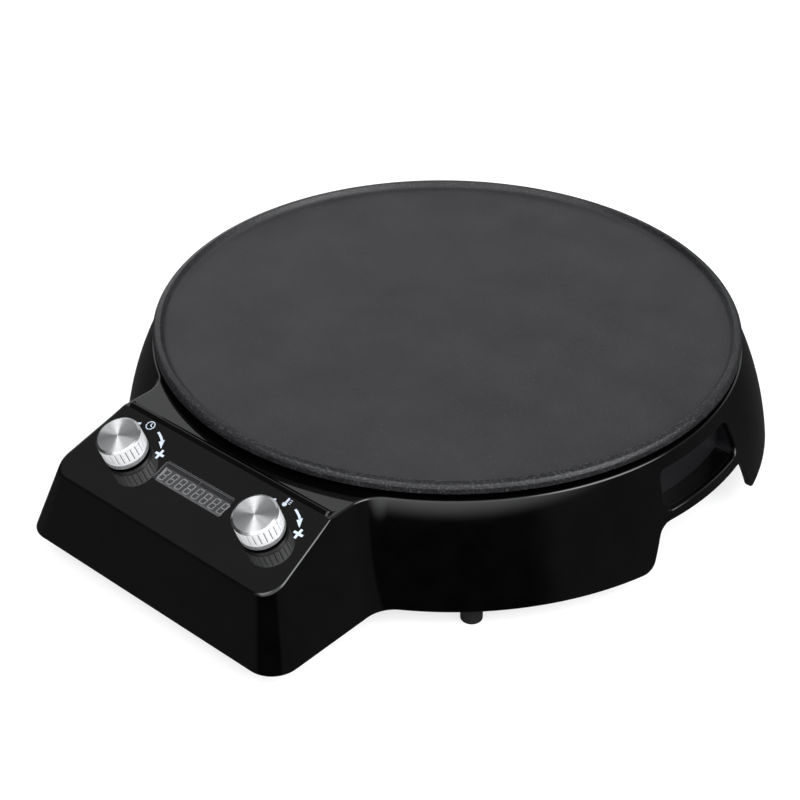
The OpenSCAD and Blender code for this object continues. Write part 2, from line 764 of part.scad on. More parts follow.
power_board_y = crease_y - power_board_l / 2 + 8;
power_board_z = floor_z + pillar_h;
pillar_r = 3;
pillar_inset = 4;
slot_len = 46;
slot_w = 3;

module cover_outline() {
    reach = (floor_z - base_z);
    half = box_w / 2 - reach * tan(side_lean) - wall / cos(side_lean) - cover_gap;
    front = -front_reach + reach * tan(front_lean) + wall / cos(front_lean) + cover_gap;
    r = bulge_x + sqrt(pow(bulge_r - wall, 2) - pow(floor_z - bulge_z, 2)) - cover_gap;
    difference() {
        union() {
            circle(r = r, $fn = 180);
            translate([0, front / 2]) rounded_rect(2 * half, -front, corner_at(floor_z) - wall);
        }
        for (sx = [-1, 1]) translate([sx * (recess_x - cup_wall - seat_gap + r), handle_shift])
            square([2 * r, 2 * (arch_half(cover_z) + recess_side + cup_wall + seat_gap)], center = true);
    }
}

module power_pillars(r, from, to) {
    for (sx = [-1, 1], sy = [-1, 1])
        translate([sx * (power_board_w / 2 - pillar_inset),
                   power_board_y + sy * (power_board_l / 2 - pillar_inset), from])
            cylinder(r = r, h = to - from);
}

module base_cover() at_axis() color([0.12, 0.12, 0.12]) difference() {
    union() {
        translate([0, 0, cover_z]) linear_extrude(height = cover_t) cover_outline();
        power_pillars(pillar_r, floor_z - overlap, power_board_z);
    }
    for (a = foot_angles) polar(a, foot_at)
        translate([0, 0, cover_z - overlap]) cylinder(r = screw_hole_r, h = cover_t + 2 * overlap);
    for (a = post_angles) polar(a, post_at)
        translate([0, 0, cover_z - overlap]) cylinder(r = screw_hole_r, h = cover_t + 2 * overlap);
    for (sx = [-1, 1]) translate([sx * box_post_x, box_post_y, cover_z - overlap])
        cylinder(r = screw_hole_r, h = cover_t + 2 * overlap);
    power_pillars(pilot_r, floor_z - overlap, power_board_z + overlap);
    for (sx = [-1, 1], k = [-4:4]) translate([sx * 60, 10 * k + 20, cover_z - overlap])
        rounded_block(slot_len, slot_w, cover_t + 2 * overlap, slot_w / 2 - 0.01);
}

base_screw_places = concat(
    [for (a = post_angles) [post_at * cos(a), post_at * sin(a)]],
    [[box_post_x, box_post_y], [-box_post_x, box_post_y]]);

module base_screws() at_axis() color([0.6, 0.6, 0.62])
    for (p = base_screw_places) translate([p.x, p.y, cover_z]) screw(cover_t + cover_grip);

module foot(angle) {
    rim = foot_d / 2;
    round_r = foot_d / 12;
    at_axis() color([0.1, 0.1, 0.1]) polar(angle, foot_at) rotate_extrude() difference() {
        union() {
            translate([0, round_r]) square([rim, cover_z - round_r]);
            square([rim - round_r, round_r]);
            translate([rim - round_r, round_r]) circle(r = round_r);
        }
        translate([-foot_d, -overlap]) square([foot_d, cover_z + 2 * overlap]);
        translate([0, -overlap]) square([foot_bore_r, foot_bore_h + overlap]);
        translate([0, -overlap]) square([screw_r + 0.1, cover_z + 2 * overlap]);
    }
}

module front_left_foot() foot(-135);
module front_right_foot() foot(-45);
module rear_left_foot() foot(135);
module rear_right_foot() foot(45);

module foot_screws() at_axis() color([0.6, 0.6, 0.62])
    for (a = foot_angles) polar(a, foot_at) translate([0, 0, foot_bore_h]) screw(floor_z - foot_bore_h + foot_grip);

// ---------- display and controls ----------

lens_flange_t = 0.8;
module display_lens() at_axis() color([0.2, 0.2, 0.22, 0.6]) on_panel(window_x, window_down) {
    translate([0, 0, -wall]) rounded_block(window_len - 0.2, window_h - 0.2, wall, 1.4);
    translate([0, 0, -wall - lens_flange_t]) rounded_block(window_len + 4, window_h + 4, lens_flange_t, 2);
}

module display_module() at_axis() color([0.35, 0.36, 0.4]) on_panel(window_x, window_down) {
    face = -wall - lens_flange_t - seat_gap;
    translate([0, 0, board_top]) rounded_block(window_len + 6, window_h + 8, face - 1 - board_top, 1);
    translate([0, 0, face - 1]) rounded_block(window_len + 2, window_h + 2, 1, 0.5);
}

module control_board() at_axis() color([0.08, 0.32, 0.16]) on_panel(0, knob_down)
    translate([0, 0, board_top - board_t]) difference() {
        rounded_block(control_board_w, control_board_h, board_t, 2);
        for (sx = [-1, 1], s = control_post_s) translate([sx * control_post_x, knob_down - s, -overlap])
            cylinder(r = board_screw_r + 0.2, h = board_t + 2 * overlap);
    }

module control_board_screws() at_axis() color([0.6, 0.6, 0.62])
    for (sx = [-1, 1], s = control_post_s) on_panel(sx * control_post_x, s)
        translate([0, 0, board_top - board_t]) screw(board_screw_len, r = board_screw_r, hr = 2, ht = 1.2);

buzzer_h = 6;
module buzzer() at_axis() color([0.1, 0.1, 0.1]) on_panel(8, 14)
    translate([0, 0, board_top - board_t - buzzer_h]) cylinder(r = 6, h = buzzer_h);

module at_knob(side) {
    at_axis() on_panel(side * knob_spacing / 2, knob_down) children();
}

shaft_r = shaft_d / 2;
rotor_r = 4.8;
rotor_z = board_top + 2;
rotor_h = 2;
bushing_top = 3.5;
flat_depth = 1.5;
core_r = 10;
core_top = knob_h - 2.6;
core_low = bushing_top + 0.3;
shaft_top = core_top - 0.6;

module encoder(side) at_knob(side) color([0.55, 0.56, 0.55]) difference() {
    union() {
        translate([0, 0, board_top]) rounded_block(encoder_w, encoder_w, encoder_h, 0.6);
        translate([0, 0, encoder_top - overlap]) cylinder(d = bushing_d, h = bushing_top - encoder_top + overlap);
    }
    translate([0, 0, rotor_z - seat_gap]) cylinder(r = rotor_r + seat_gap, h = rotor_h + 2 * seat_gap);
    translate([0, 0, rotor_z]) cylinder(r = shaft_r + shaft_play, h = bushing_top - rotor_z + overlap);
}

module time_encoder() encoder(-1);
module temp_encoder() encoder(1);

module encoder_nut(side) at_knob(side) color([0.75, 0.75, 0.76]) difference() {
    union() {
        cylinder(r = bushing_d / 2 + 2.2, h = 0.5);
        translate([0, 0, 0.5]) cylinder(r = bushing_d / 2 + 2.2, h = 2, $fn = 6);
    }
    translate([0, 0, -overlap]) cylinder(d = bushing_d, h = 4 + overlap);
}

module time_encoder_nut() encoder_nut(-1);
module temp_encoder_nut() encoder_nut(1);

// Section of a D-shaped shaft, or of the bore that takes it
module d_section(r) {
    difference() {
        circle(r = r);
        translate([-2 * r, shaft_r - flat_depth + (r - shaft_r)]) square([4 * r, 2 * r]);
    }
}

module encoder_shaft(side) at_knob(side) color([0.78, 0.78, 0.8]) {
    translate([0, 0, rotor_z]) cylinder(r = rotor_r, h = rotor_h);
    translate([0, 0, rotor_z + rotor_h]) cylinder(r = shaft_r, h = core_low - rotor_z - rotor_h);
    translate([0, 0, core_low]) linear_extrude(height = shaft_top - core_low) d_section(shaft_r);
}

module time_shaft() encoder_shaft(-1);
module temp_shaft() encoder_shaft(1);

module knob_core(side) at_knob(side) color([0.08, 0.08, 0.08]) difference() {
    translate([0, 0, knob_gap + 0.3]) cylinder(r = core_r, h = core_top - knob_gap - 0.3);
    cylinder(r = core_r - 1.6, h = core_low);
    translate([0, 0, core_low - overlap]) linear_extrude(height = shaft_top - core_low + overlap + 0.3)
        d_section(shaft_r + 0.02);
}

module time_knob_core() knob_core(-1);
module temp_knob_core() knob_core(1);

// A plain ring at the knob's foot, a fine seam above it, the grooved grip and a bevel round the top
knob_ring_h = 2.8;
knob_edge = 0.3;
seam_depth = 0.25;
seam_h = 0.4;
knob_bevel_w = 1.3;
knob_bevel_h = 0.9;
groove_depth = 0.45;
groove_w = 0.5;
groove_margin = 0.6;

module knob(side) at_knob(side) color([0.8, 0.8, 0.81]) {
    r = knob_d / 2;
    ring_z = knob_gap + knob_ring_h;
    groove_low = ring_z + seam_h + groove_margin;
    groove_high = knob_h - knob_bevel_h - groove_margin;
    difference() {
        rotate_extrude() polygon([
            [core_r, knob_gap], [r - knob_edge, knob_gap], [r, knob_gap + knob_edge], [r, ring_z],
            [r - seam_depth, ring_z + seam_h / 2], [r, ring_z + seam_h], [r, knob_h - knob_bevel_h],
            [r - knob_bevel_w, knob_h], [0, knob_h], [0, core_top], [core_r, core_top]]);
        for (i = [0:knob_grooves - 1]) rotate([0, 0, 360 * i / knob_grooves])
            translate([r, 0, (groove_low + groove_high) / 2])
                cube([2 * groove_depth, groove_w, groove_high - groove_low], center = true);
    }
}

module time_knob() knob(-1);
module temp_knob() knob(1);

// ---------- power electronics ----------

power_top = power_board_z + board_t;

// Places on the power board, from its middle, and sizes of what stands there
relay_at = [4, 2];
relay_size = [15.5, 19, 15];
transformer_at = [-26, 9];
transformer_size = [28, 22, 18];
cheek_t = 3;
block_at = [32, 16];
block_size = [30, 11, 12];
block_pitch = 10;
block_hole_r = 1.8;
fuse_at = [0, -16];
fuse_len = 20;
heatsink_at = [34, -2];
heatsink_size = [26, 3, 13];
fin_pitch = 5.5;
fin_size = [1.2, 5.5, heatsink_size.z];
triac_size = [10, 4, 9];
// Place, radius and height of each capacitor
capacitor_list = [[-26, -12, 5, 11], [-40, -12, 4, 9], [-14, -8, 3, 9]];

module on_power_board(place) {
    translate([place.x, power_board_y + place.y, power_top]) children();
}

module power_board() at_axis() color([0.1, 0.36, 0.18]) difference() {
    translate([0, power_board_y, power_board_z]) rounded_block(power_board_w, power_board_l, board_t, 2);
    power_pillars(screw_r + 0.1, power_board_z - overlap, power_top + overlap);
}

module power_board_screws() at_axis() color([0.7, 0.7, 0.72])
    for (sx = [-1, 1], sy = [-1, 1])
        on_power_board([sx * (power_board_w / 2 - pillar_inset), sy * (power_board_l / 2 - pillar_inset)])
            mirror([0, 0, 1]) screw(board_t + pillar_h - 1);

module relay() at_axis() color([0.1, 0.25, 0.55]) on_power_board(relay_at)
    rounded_block(relay_size.x, relay_size.y, relay_size.z, 0.8);

module transformer() at_axis() color([0.8, 0.65, 0.2]) on_power_board(transformer_at) {
    for (z = [0, transformer_size.z - cheek_t]) translate([0, 0, z])
        rounded_block(transformer_size.x, transformer_size.y, cheek_t, 0.5);
    translate([0, 0, cheek_t]) rounded_block(
        transformer_size.x - 8, transformer_size.y - 4, transformer_size.z - 2 * cheek_t, 3);
}

module terminal_block() at_axis() color([0.15, 0.45, 0.2]) on_power_board(block_at) difference() {
    rounded_block(block_size.x, block_size.y, block_size.z, 0.6);
    for (k = [-1:1]) translate([block_pitch * k, 1, block_size.z / 2])
        rotate([-90, 0, 0]) cylinder(r = block_hole_r, h = block_size.y);
    for (k = [-1:1]) translate([block_pitch * k, 0, block_size.z * 2 / 3])
        cylinder(r = block_hole_r, h = block_size.z);
}

module mains_fuse() at_axis() color([0.8, 0.82, 0.85]) on_power_board(fuse_at) {
    for (sx = [-1, 1]) translate([sx * (fuse_len / 2 - 2), 0, 0]) rounded_block(4, 6.4, 7, 0.4);
    translate([-fuse_len / 2, 0, 4]) rotate([0, 90, 0]) cylinder(r = 2.6, h = fuse_len);
}

module triac_heatsink() at_axis() color([0.7, 0.7, 0.72]) on_power_board(heatsink_at) {
    rounded_block(heatsink_size.x, heatsink_size.y, heatsink_size.z, 0.4);
    for (k = [-2:2]) translate([fin_pitch * k - fin_size.x / 2, 0, 0]) cube(fin_size);
    translate([0, -(heatsink_size.y + triac_size.y) / 2 + 0.1, 1])
        rounded_block(triac_size.x, triac_size.y, triac_size.z, 0.4);
}

module capacitors() at_axis() color([0.15, 0.15, 0.3])
    for (c = capacitor_list) on_power_board(c) cylinder(r = c[2], h = c[3]);

// ---------- power inlet ----------

socket_w = 24.6;
socket_h = 16.6;
socket_depth = 16;
inlet_depth = 19;
pin_size = [2, 4];

module inlet_frame() {
    translate([0, bay_y + inlet_t, inlet_z]) rotate([90, 0, 0]) children();
}

module power_inlet() at_axis() color([0.07, 0.07, 0.07]) inlet_frame() difference() {
    union() {
        rounded_block(inlet_w, inlet_h, inlet_t, 3);
        translate([0, 0, inlet_t - overlap]) rounded_block(inlet_body_w, inlet_body_h, inlet_depth - inlet_t + overlap, 2);
    }
    translate([0, 0, -overlap]) rounded_block(socket_w, socket_h, socket_depth + overlap, 2.5);
    for (sx = [-1, 1]) translate([sx * inlet_pitch / 2, 0, -overlap])
        cylinder(r = screw_r + 0.1, h = inlet_t + 2 * overlap);
    for (p = inlet_pin_places) translate([p.x, p.y, socket_depth + inlet_depth / 2 - overlap])
        cube([pin_size.x + 2 * fit_gap, pin_size.y + 2 * fit_gap, inlet_depth], center = true);
}

inlet_pin_places = [[-7, -2], [7, -2], [0, 2]];
pin_inset = 2;
tab_len = 8;

module inlet_pins() at_axis() color([0.82, 0.8, 0.72]) inlet_frame()
    for (p = inlet_pin_places) translate([p.x - pin_size.x / 2, p.y - pin_size.y / 2, pin_inset])
        cube([pin_size.x, pin_size.y, inlet_depth + tab_len - pin_inset]);

module inlet_screws() at_axis() color([0.7, 0.7, 0.72]) inlet_frame()
    for (sx = [-1, 1]) translate([sx * inlet_pitch / 2, 0, 0]) screw(inlet_t + cup_wall + 4, ht = 1.6);

module inlet_nuts() at_axis() color([0.7, 0.7, 0.72]) inlet_frame()
    for (sx = [-1, 1]) translate([sx * inlet_pitch / 2, 0, inlet_t + cup_wall]) difference() {
        cylinder(r = 3.2, h = 2.4, $fn = 6);
        translate([0, 0, -overlap]) cylinder(r = screw_r, h = 5);
    }

// ---------- wiring ----------

wire_r = wire_d / 2;
thin_wire_r = 0.7;
tab_y = bay_y + inlet_t - inlet_depth - tab_len;
wire_z = floor_z + wire_r + 0.1;
block_y = power_board_y + block_at.y + block_size.y / 2;
block_z = power_top + block_size.z / 2;

// Level of the control board's back face at a place y in front of the plate
function board_back_z(y) = panel_z(y) + (board_top - board_t) / cos(panel_tilt);

// From a tab of the inlet, down behind it, along the cover and into the terminal block
function mains_route(pin, hole) = [
    [pin, tab_y, inlet_z - 2], [pin, tab_y - 6, inlet_z - 2], [pin, tab_y - 14, wire_z],
    [hole, block_y + 30, wire_z], [hole, block_y + 12, block_z], [hole, block_y - 3, block_z]];

module mains_wires() at_axis() {
    color([0.45, 0.25, 0.12]) wire(mains_route(-7, block_at.x - block_pitch), wire_r);
    color([0.15, 0.3, 0.6]) wire(mains_route(7, block_at.x), wire_r);
}

module earth_wire() at_axis() color([0.3, 0.55, 0.15]) {
    bolt = plate_boss_at * [cos(45), sin(45)];
    bolt_low = shield_z - shield_t - washer_t - bolt_head_t;
    lug_h = 2;
    wire([[0, tab_y, inlet_z + 2], [0, tab_y - 6, inlet_z + 2], [bolt.x, bolt.y + 20, bolt_low - lug_h],
          [bolt.x, bolt.y, bolt_low - lug_h]], wire_r);
    translate([bolt.x, bolt.y, bolt_low - lug_h - wire_r]) cylinder(r = 3.5, h = lug_h + wire_r);
}

function end_place(loop_r) =
    [loop_r * cos(loop_start) + element_bend_r * sin(loop_start),
     loop_r * sin(loop_start) - element_bend_r * cos(loop_start)];

// One end of the element to the terminal block, the other to the top of the relay
module element_wires() at_axis() color([0.85, 0.85, 0.82]) {
    outer = end_place(outer_loop_r);
    inner = end_place(inner_loop_r);
    hole = block_at.x + block_pitch;
    relay_y = power_board_y + relay_at.y;
    relay_z = power_top + relay_size.z;
    wire([[outer.x, outer.y, terminal_z], [outer.x, outer.y, terminal_z - 6], [hole, block_y + 25, block_z],
          [hole, block_y + 12, block_z], [hole, block_y - 3, block_z]], 1);
    wire([[inner.x, inner.y, terminal_z], [inner.x, inner.y, terminal_z - 6],
          [relay_at.x + 4, relay_y + 60, relay_z], [relay_at.x, relay_y + 20, relay_z + 5],
          [relay_at.x, relay_y + 6, relay_z + 6], [relay_at.x, relay_y + 1, relay_z + 4],
          [relay_at.x, relay_y, relay_z + 1.5], [relay_at.x, relay_y, relay_z]], 1);
}

module sensor_wires() at_axis() color([0.8, 0.3, 0.2])
    for (x = [-1.3, 1.3])
        wire([[x, sensor_tail_y, clamp_z + 2], [x, sensor_tail_y - 3, clamp_z + 2],
              [x, grommet_y, clamp_z - 4], [x, grommet_y, shield_z - shield_t - 6],
              [x - 20, crease_y + 20, shield_z - shield_t - 8], [x - 40, crease_y - 3, shield_z - shield_t - 6],
              [x - 40, crease_y - 8, board_back_z(crease_y - 8) - 4],
              [x - 40, crease_y - 8, board_back_z(crease_y - 8) - 0.5]], thin_wire_r);

// A flat cable from the power board up to the back of the control board
module ribbon_cable() at_axis() color([0.75, 0.75, 0.75]) {
    front = power_board_y - 8.5;
    back = front + 1;
    translate([-53, 0, 0]) rotate([90, 0, 90]) linear_extrude(height = 8) polygon([
        [front, power_top], [back, power_top], [back, board_back_z(back)], [front, board_back_z(front)]]);
}

// ---------- assembly ----------

griddle_plate();
heating_element();
element_insulators();
element_terminals();
element_straps();
strap_screws();
temperature_sensor();
sensor_bracket();
thermal_fuse();
fuse_clip();
heat_shield();
plate_bolts();
plate_washers();
shield_screws();
housing();
left_handle_cup();
right_handle_cup();
base_cover();
base_screws();
front_left_foot();
front_right_foot();
rear_left_foot();
rear_right_foot();
foot_screws();
display_lens();
display_module();
control_board();
control_board_screws();
buzzer();
time_encoder();
temp_encoder();
time_encoder_nut();
temp_encoder_nut();
time_shaft();
temp_shaft();
time_knob_core();
temp_knob_core();
time_knob();
temp_knob();
power_board();
power_board_screws();
relay();
transformer();
terminal_block();
mains_fuse();
triac_heatsink();
capacitors();
power_inlet();
inlet_pins();
inlet_screws();
inlet_nuts();
mains_wires();
earth_wire();
element_wires();
sensor_wires();
ribbon_cable();
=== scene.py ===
"""The electric crepe maker's looks, light and camera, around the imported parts."""
import json
from math import acos, asin, atan2, ceil, cos, dist, floor, hypot, pi, sin, sqrt, tan
from math import radians as rad

import bpy
import numpy as np
from mathutils import Matrix, Vector
from mathutils.geometry import delaunay_2d_cdt

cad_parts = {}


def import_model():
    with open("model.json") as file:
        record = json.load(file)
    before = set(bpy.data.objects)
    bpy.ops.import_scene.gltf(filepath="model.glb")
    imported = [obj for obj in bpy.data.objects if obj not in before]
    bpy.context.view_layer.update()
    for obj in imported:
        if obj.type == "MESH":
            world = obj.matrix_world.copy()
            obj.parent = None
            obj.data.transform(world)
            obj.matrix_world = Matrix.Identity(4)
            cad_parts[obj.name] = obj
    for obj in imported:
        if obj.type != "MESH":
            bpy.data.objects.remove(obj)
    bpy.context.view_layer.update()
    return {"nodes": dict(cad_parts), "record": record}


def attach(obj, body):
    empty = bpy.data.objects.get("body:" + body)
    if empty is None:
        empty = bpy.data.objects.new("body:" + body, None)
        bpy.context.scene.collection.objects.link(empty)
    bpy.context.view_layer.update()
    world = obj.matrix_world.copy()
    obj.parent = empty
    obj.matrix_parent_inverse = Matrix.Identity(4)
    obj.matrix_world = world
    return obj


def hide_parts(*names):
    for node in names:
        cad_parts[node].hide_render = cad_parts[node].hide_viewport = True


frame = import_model()
nodes = frame["nodes"]
scene = bpy.context.scene

# ---------- sizes, in millimetres about the plate's axis, as the part's source has them ----------

PLATE_R, WELL_R, SHELF_R = 165.0, 157.5, 146.0
BASE_Z, HOUSING_H = 12.5, 56
DECK_Z = BASE_Z + HOUSING_H
CREASE_Z, RIM_Z, SHELF_Z = DECK_Z + 1.1, DECK_Z + 7.7, DECK_Z - 13
COOK_Z = RIM_Z - 2.2
UNDER_Z = COOK_Z - 4.5
WALL = 3.0
SKIRT_R, BULGE_R, BULGE_TURN = 184.2, 169.0, rad(8.2)
BULGE_X = SKIRT_R - BULGE_R * cos(BULGE_TURN)
BULGE_Z = BASE_Z - BULGE_R * sin(BULGE_TURN)
TILT, SIDE, FRONT = rad(21), tan(rad(18.2)), tan(rad(17.5))  # the panel's slope, and how the box's walls lean
CREASE_Y, PANEL_LEN = -171.8, 55.2
PANEL_DROP = CREASE_Z - PANEL_LEN * sin(TILT) - BASE_Z
FRONT_REACH = -CREASE_Y + PANEL_LEN * cos(TILT) + PANEL_DROP * FRONT
BOX_HALF = 93.6
CORNER_R, CORNER_TOP_R = 15.5, 12.0
CORNER_LOSS = (CORNER_R - CORNER_TOP_R) / PANEL_DROP
BLEND_R = 18.0
PLATE_Y = (FRONT_REACH - SKIRT_R) / 2
FOLD_Y = CREASE_Y - (CREASE_Z - DECK_Z) / tan(TILT)
KNOB_X, KNOB_S, KNOB_R, KNOB_H, BORE_R = 49.8, 25.7, 12.2, 14.4, 3.6
WINDOW_X, WINDOW_S, WINDOW_W, WINDOW_H = -1.1, 24.6, 50.2, 12.8
ARCH_TOP, ARCH_HALF, ARCH_LEAN, ARCH_R = BASE_Z + 23.4, 37.4, 0.4, 9.0
POCKET_LOW, POCKET_H, POCKET_HALF, POCKET_LEAN = ARCH_TOP + 5.1, 20.7, 34.8, 0.21
HANDLE_SHIFT = 2.5  # how far the handles' middle is behind the plate's axis
INLET_Z = BASE_Z + 22
BAY_W, BAY_H, BAY_R, BAY_WALL = 28, 15, 3, 2.5  # the inlet's bay, by half its sizes
MOUTH_W, MOUTH_H, MOUTH_R = 14.1, 10.1, 2
LIP, POCKET_LIP = 0.8, 1.0  # fillets of the lower edge and the bay, and of the hand windows
UP, DOWN = (0, 0, 1), (0, 0, -1)


def at(p):
    """A point about the plate's axis, in millimetres, as a point of the part, in metres."""
    return (p[0] / 1000, (p[1] + PLATE_Y) / 1000, p[2] / 1000)


def vec(*c):
    return np.array(c, float)


def ray(a):
    """The level direction at angle a."""
    return vec(cos(a), sin(a), 0)


def circle(r, step, x=0.0, y=0.0):
    """Outline of a circle about (x, y), with a point every step degrees."""
    return [(x + r * cos(rad(a)), y + r * sin(rad(a))) for a in range(0, 360, step)]


def unit(v):
    v = np.asarray(v, float)
    n = sqrt(float(v @ v))
    return v / n if n else v


def mix(a, b, t):
    return np.asarray(a, float) * (1 - t) + np.asarray(b, float) * t


def corner(a, p, b, r, n=6):
    """Points of the arc of radius r that rounds corner p between its neighbours a and b."""
    if not r:
        return [tuple(p)]
    a, p, b = (np.asarray(q, float) for q in (a, p, b))
    u, v = unit(a - p), unit(b - p)
    half = acos(max(-1, min(1, float(u @ v)))) / 2
    c = p + unit(u + v) * r / sin(half)
    s, e = p + u * r / tan(half) - c, p + v * r / tan(half) - c
    a0 = atan2(s[1], s[0])
    turn = (atan2(e[1], e[0]) - a0 + 3 * pi) % (2 * pi) - pi
    return [(c[0] + r * cos(a0 + turn * i / n), c[1] + r * sin(a0 + turn * i / n)) for i in range(n + 1)]


def rounded(points, radii, n=6):
    out = []
    for i, p in enumerate(points):
        out += corner(points[i - 1], p, points[(i + 1) % len(points)], radii[i], n)
    return out


def box_line(w, h, r, n, x=0.0, y=0.0):
    """Outline of a rounded rectangle about (x, y), from half its sizes."""
    return rounded([(x - w, y - h), (x + w, y - h), (x + w, y + h), (x - w, y + h)], [r] * 4, n)


def refine(points, step, closed=True):
    """The outline with no stretch longer than step."""
    out = []
    for p, q in zip(points, points[1:] + points[:1] if closed else points[1:]):
        n = max(1, ceil(dist(p, q) / step))
        out += [tuple(mix(p, q, k / n)) for k in range(n)]
    return out if closed else out + [points[-1]]


def plan(points):
    """The points as seen from above."""
    return [(p[0], p[1]) for p in points]


def inside(p, loop):
    x, y = p
    hit = False
    for i in range(len(loop)):
        (x0, y0), (x1, y1) = loop[i - 1], loop[i]
        if (y0 > y) != (y1 > y) and x < x0 + (y - y0) * (x1 - x0) / (y1 - y0):
            hit = not hit
    return hit


def near(p, loop, d):
    """Whether p lies closer than d to a closed outline."""
    q = np.asarray(loop, float)
    a, b = q, np.roll(q, -1, 0)
    ab = b - a
    t = np.clip(((np.asarray(p) - a) * ab).sum(1) / np.maximum((ab * ab).sum(1), 1e-12), 0, 1)
    return bool((((a + ab * t[:, None] - p) ** 2).sum(1) < d * d).any())


class Skin:
    """Collects faces with a shading normal at each corner, and welds their points."""

    def __init__(self):
        self.points, self.where, self.faces, self.normals, self.slots = [], {}, [], [], []

    def add(self, p):
        x, y, z = (float(c) * 500 for c in p)
        for i in {floor(x), ceil(x)}:
            for j in {floor(y), ceil(y)}:
                for k in {floor(z), ceil(z)}:
                    if (i, j, k) in self.where:
                        return self.where[i, j, k]
        self.where[round(x), round(y), round(z)] = len(self.points)
        self.points.append(tuple(float(c) for c in p))
        return len(self.points) - 1

    def face(self, corners, normals, slot=0):
        ids, ns = [], []
        for p, n in zip(corners, normals):
            i = self.add(p)
            if i not in ids:
                ids.append(i)
                ns.append(unit(n))
        if len(ids) < 3:
            return
        q = [np.array(self.points[i]) for i in ids]
        flat = sum((np.cross(q[i] - q[0], q[i + 1] - q[0]) for i in range(1, len(q) - 1)), np.zeros(3))
        if float(flat @ sum(ns)) < 0:
            ids.reverse()
            ns.reverse()
        self.faces.append(ids)
        self.normals += ns
        self.slots.append(slot)

    def grid(self, rows, closed=False, slot=0):
        """Quads through rows of (point, normal) pairs."""
        for r0, r1 in zip(rows, rows[1:]):
            m = len(r0)
            for j in range(m if closed else m - 1):
                k = (j + 1) % m
                four = [r0[j], r0[k], r1[k], r1[j]]
                self.face([f[0] for f in four], [f[1] for f in four], slot)

    def patch(self, outer, holes, lift, extra=(), gap=1.5, slot=0):
        """Triangles between outlines in a plane, put in space by lift(x, y) -> (point, normal)."""
        loops = [outer] + list(holes)
        inner = [p for p in extra if inside(p, outer) and not any(inside(p, h) for h in holes)
                 and not any(near(p, l, gap) for l in loops)]
        pts = [Vector((float(p[0]), float(p[1]))) for l in loops for p in l] + [Vector(p) for p in inner]
        edges, start = [], 0
        for l in loops:
            edges += [(start + i, start + (i + 1) % len(l)) for i in range(len(l))]
            start += len(l)
        out, _, faces, *_ = delaunay_2d_cdt(pts, edges, [], 1, 1e-9)
        lifted = [lift(*p) for p in out]
        for f in faces:
            mid = sum((out[i] for i in f), Vector((0, 0))) / len(f)
            if inside(mid, outer) and not any(inside(mid, h) for h in holes):
                self.face([lifted[i][0] for i in f], [lifted[i][1] for i in f], slot)

    def build(self, name, materials, body="base", replaces=(), slot=None, matrix=None):
        """Makes the object, about the plate's axis or, with a matrix, about an axis of its own."""
        mesh = bpy.data.meshes.new(name)
        place = (lambda p: tuple(c / 1000 for c in p)) if matrix else at
        mesh.from_pydata([place(p) for p in self.points], [], self.faces)
        mesh.polygons.foreach_set("use_smooth", [True] * len(self.faces))
        mesh.polygons.foreach_set("material_index", self.slots)
        for m in materials:
            mesh.materials.append(m)
        mesh.normals_split_custom_set([tuple(n) for n in self.normals])
        mesh.update()
        obj = bpy.data.objects.new(name, mesh)
        scene.collection.objects.link(obj)
        if matrix:
            obj.matrix_world = matrix
        if body:
            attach(obj, body)
        if replaces:
            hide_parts(*replaces)
        return obj


# ---------- materials ----------


class Nodes:
    """A node tree with short ways to add and join nodes."""

    def __init__(self, tree):
        self.tree = tree

    def add(self, kind, **values):
        node = self.tree.nodes.new(kind)
        for key, value in values.items():
            setattr(node, key, value)
        return node

    def join(self, a, b):
        self.tree.links.new(a, b)

    def coords(self, output="Object"):
        return self.add("ShaderNodeTexCoord").outputs[output]

    def split(self, vector):
        node = self.add("ShaderNodeSeparateXYZ")
        self.join(vector, node.inputs["Vector"])
        return node.outputs["X"], node.outputs["Y"], node.outputs["Z"]

    def range(self, value, a, b, to_a, to_b, smooth=False):
        node = self.add("ShaderNodeMapRange", interpolation_type="SMOOTHSTEP" if smooth else "LINEAR")
        for key, number in (("From Min", a), ("From Max", b), ("To Min", to_a), ("To Max", to_b)):
            node.inputs[key].default_value = number
        self.join(value, node.inputs["Value"])
        return node.outputs["Result"]

    def math(self, op, *values):
        """The values worked together from the left."""
        if len(values) > 2:
            values = self.math(op, *values[:-1]), values[-1]
        node = self.add("ShaderNodeMath", operation=op)
        for socket, value in zip(node.inputs, values):
            if isinstance(value, (int, float)):
                socket.default_value = value
            else:
                self.join(value, socket)
        return node.outputs["Value"]


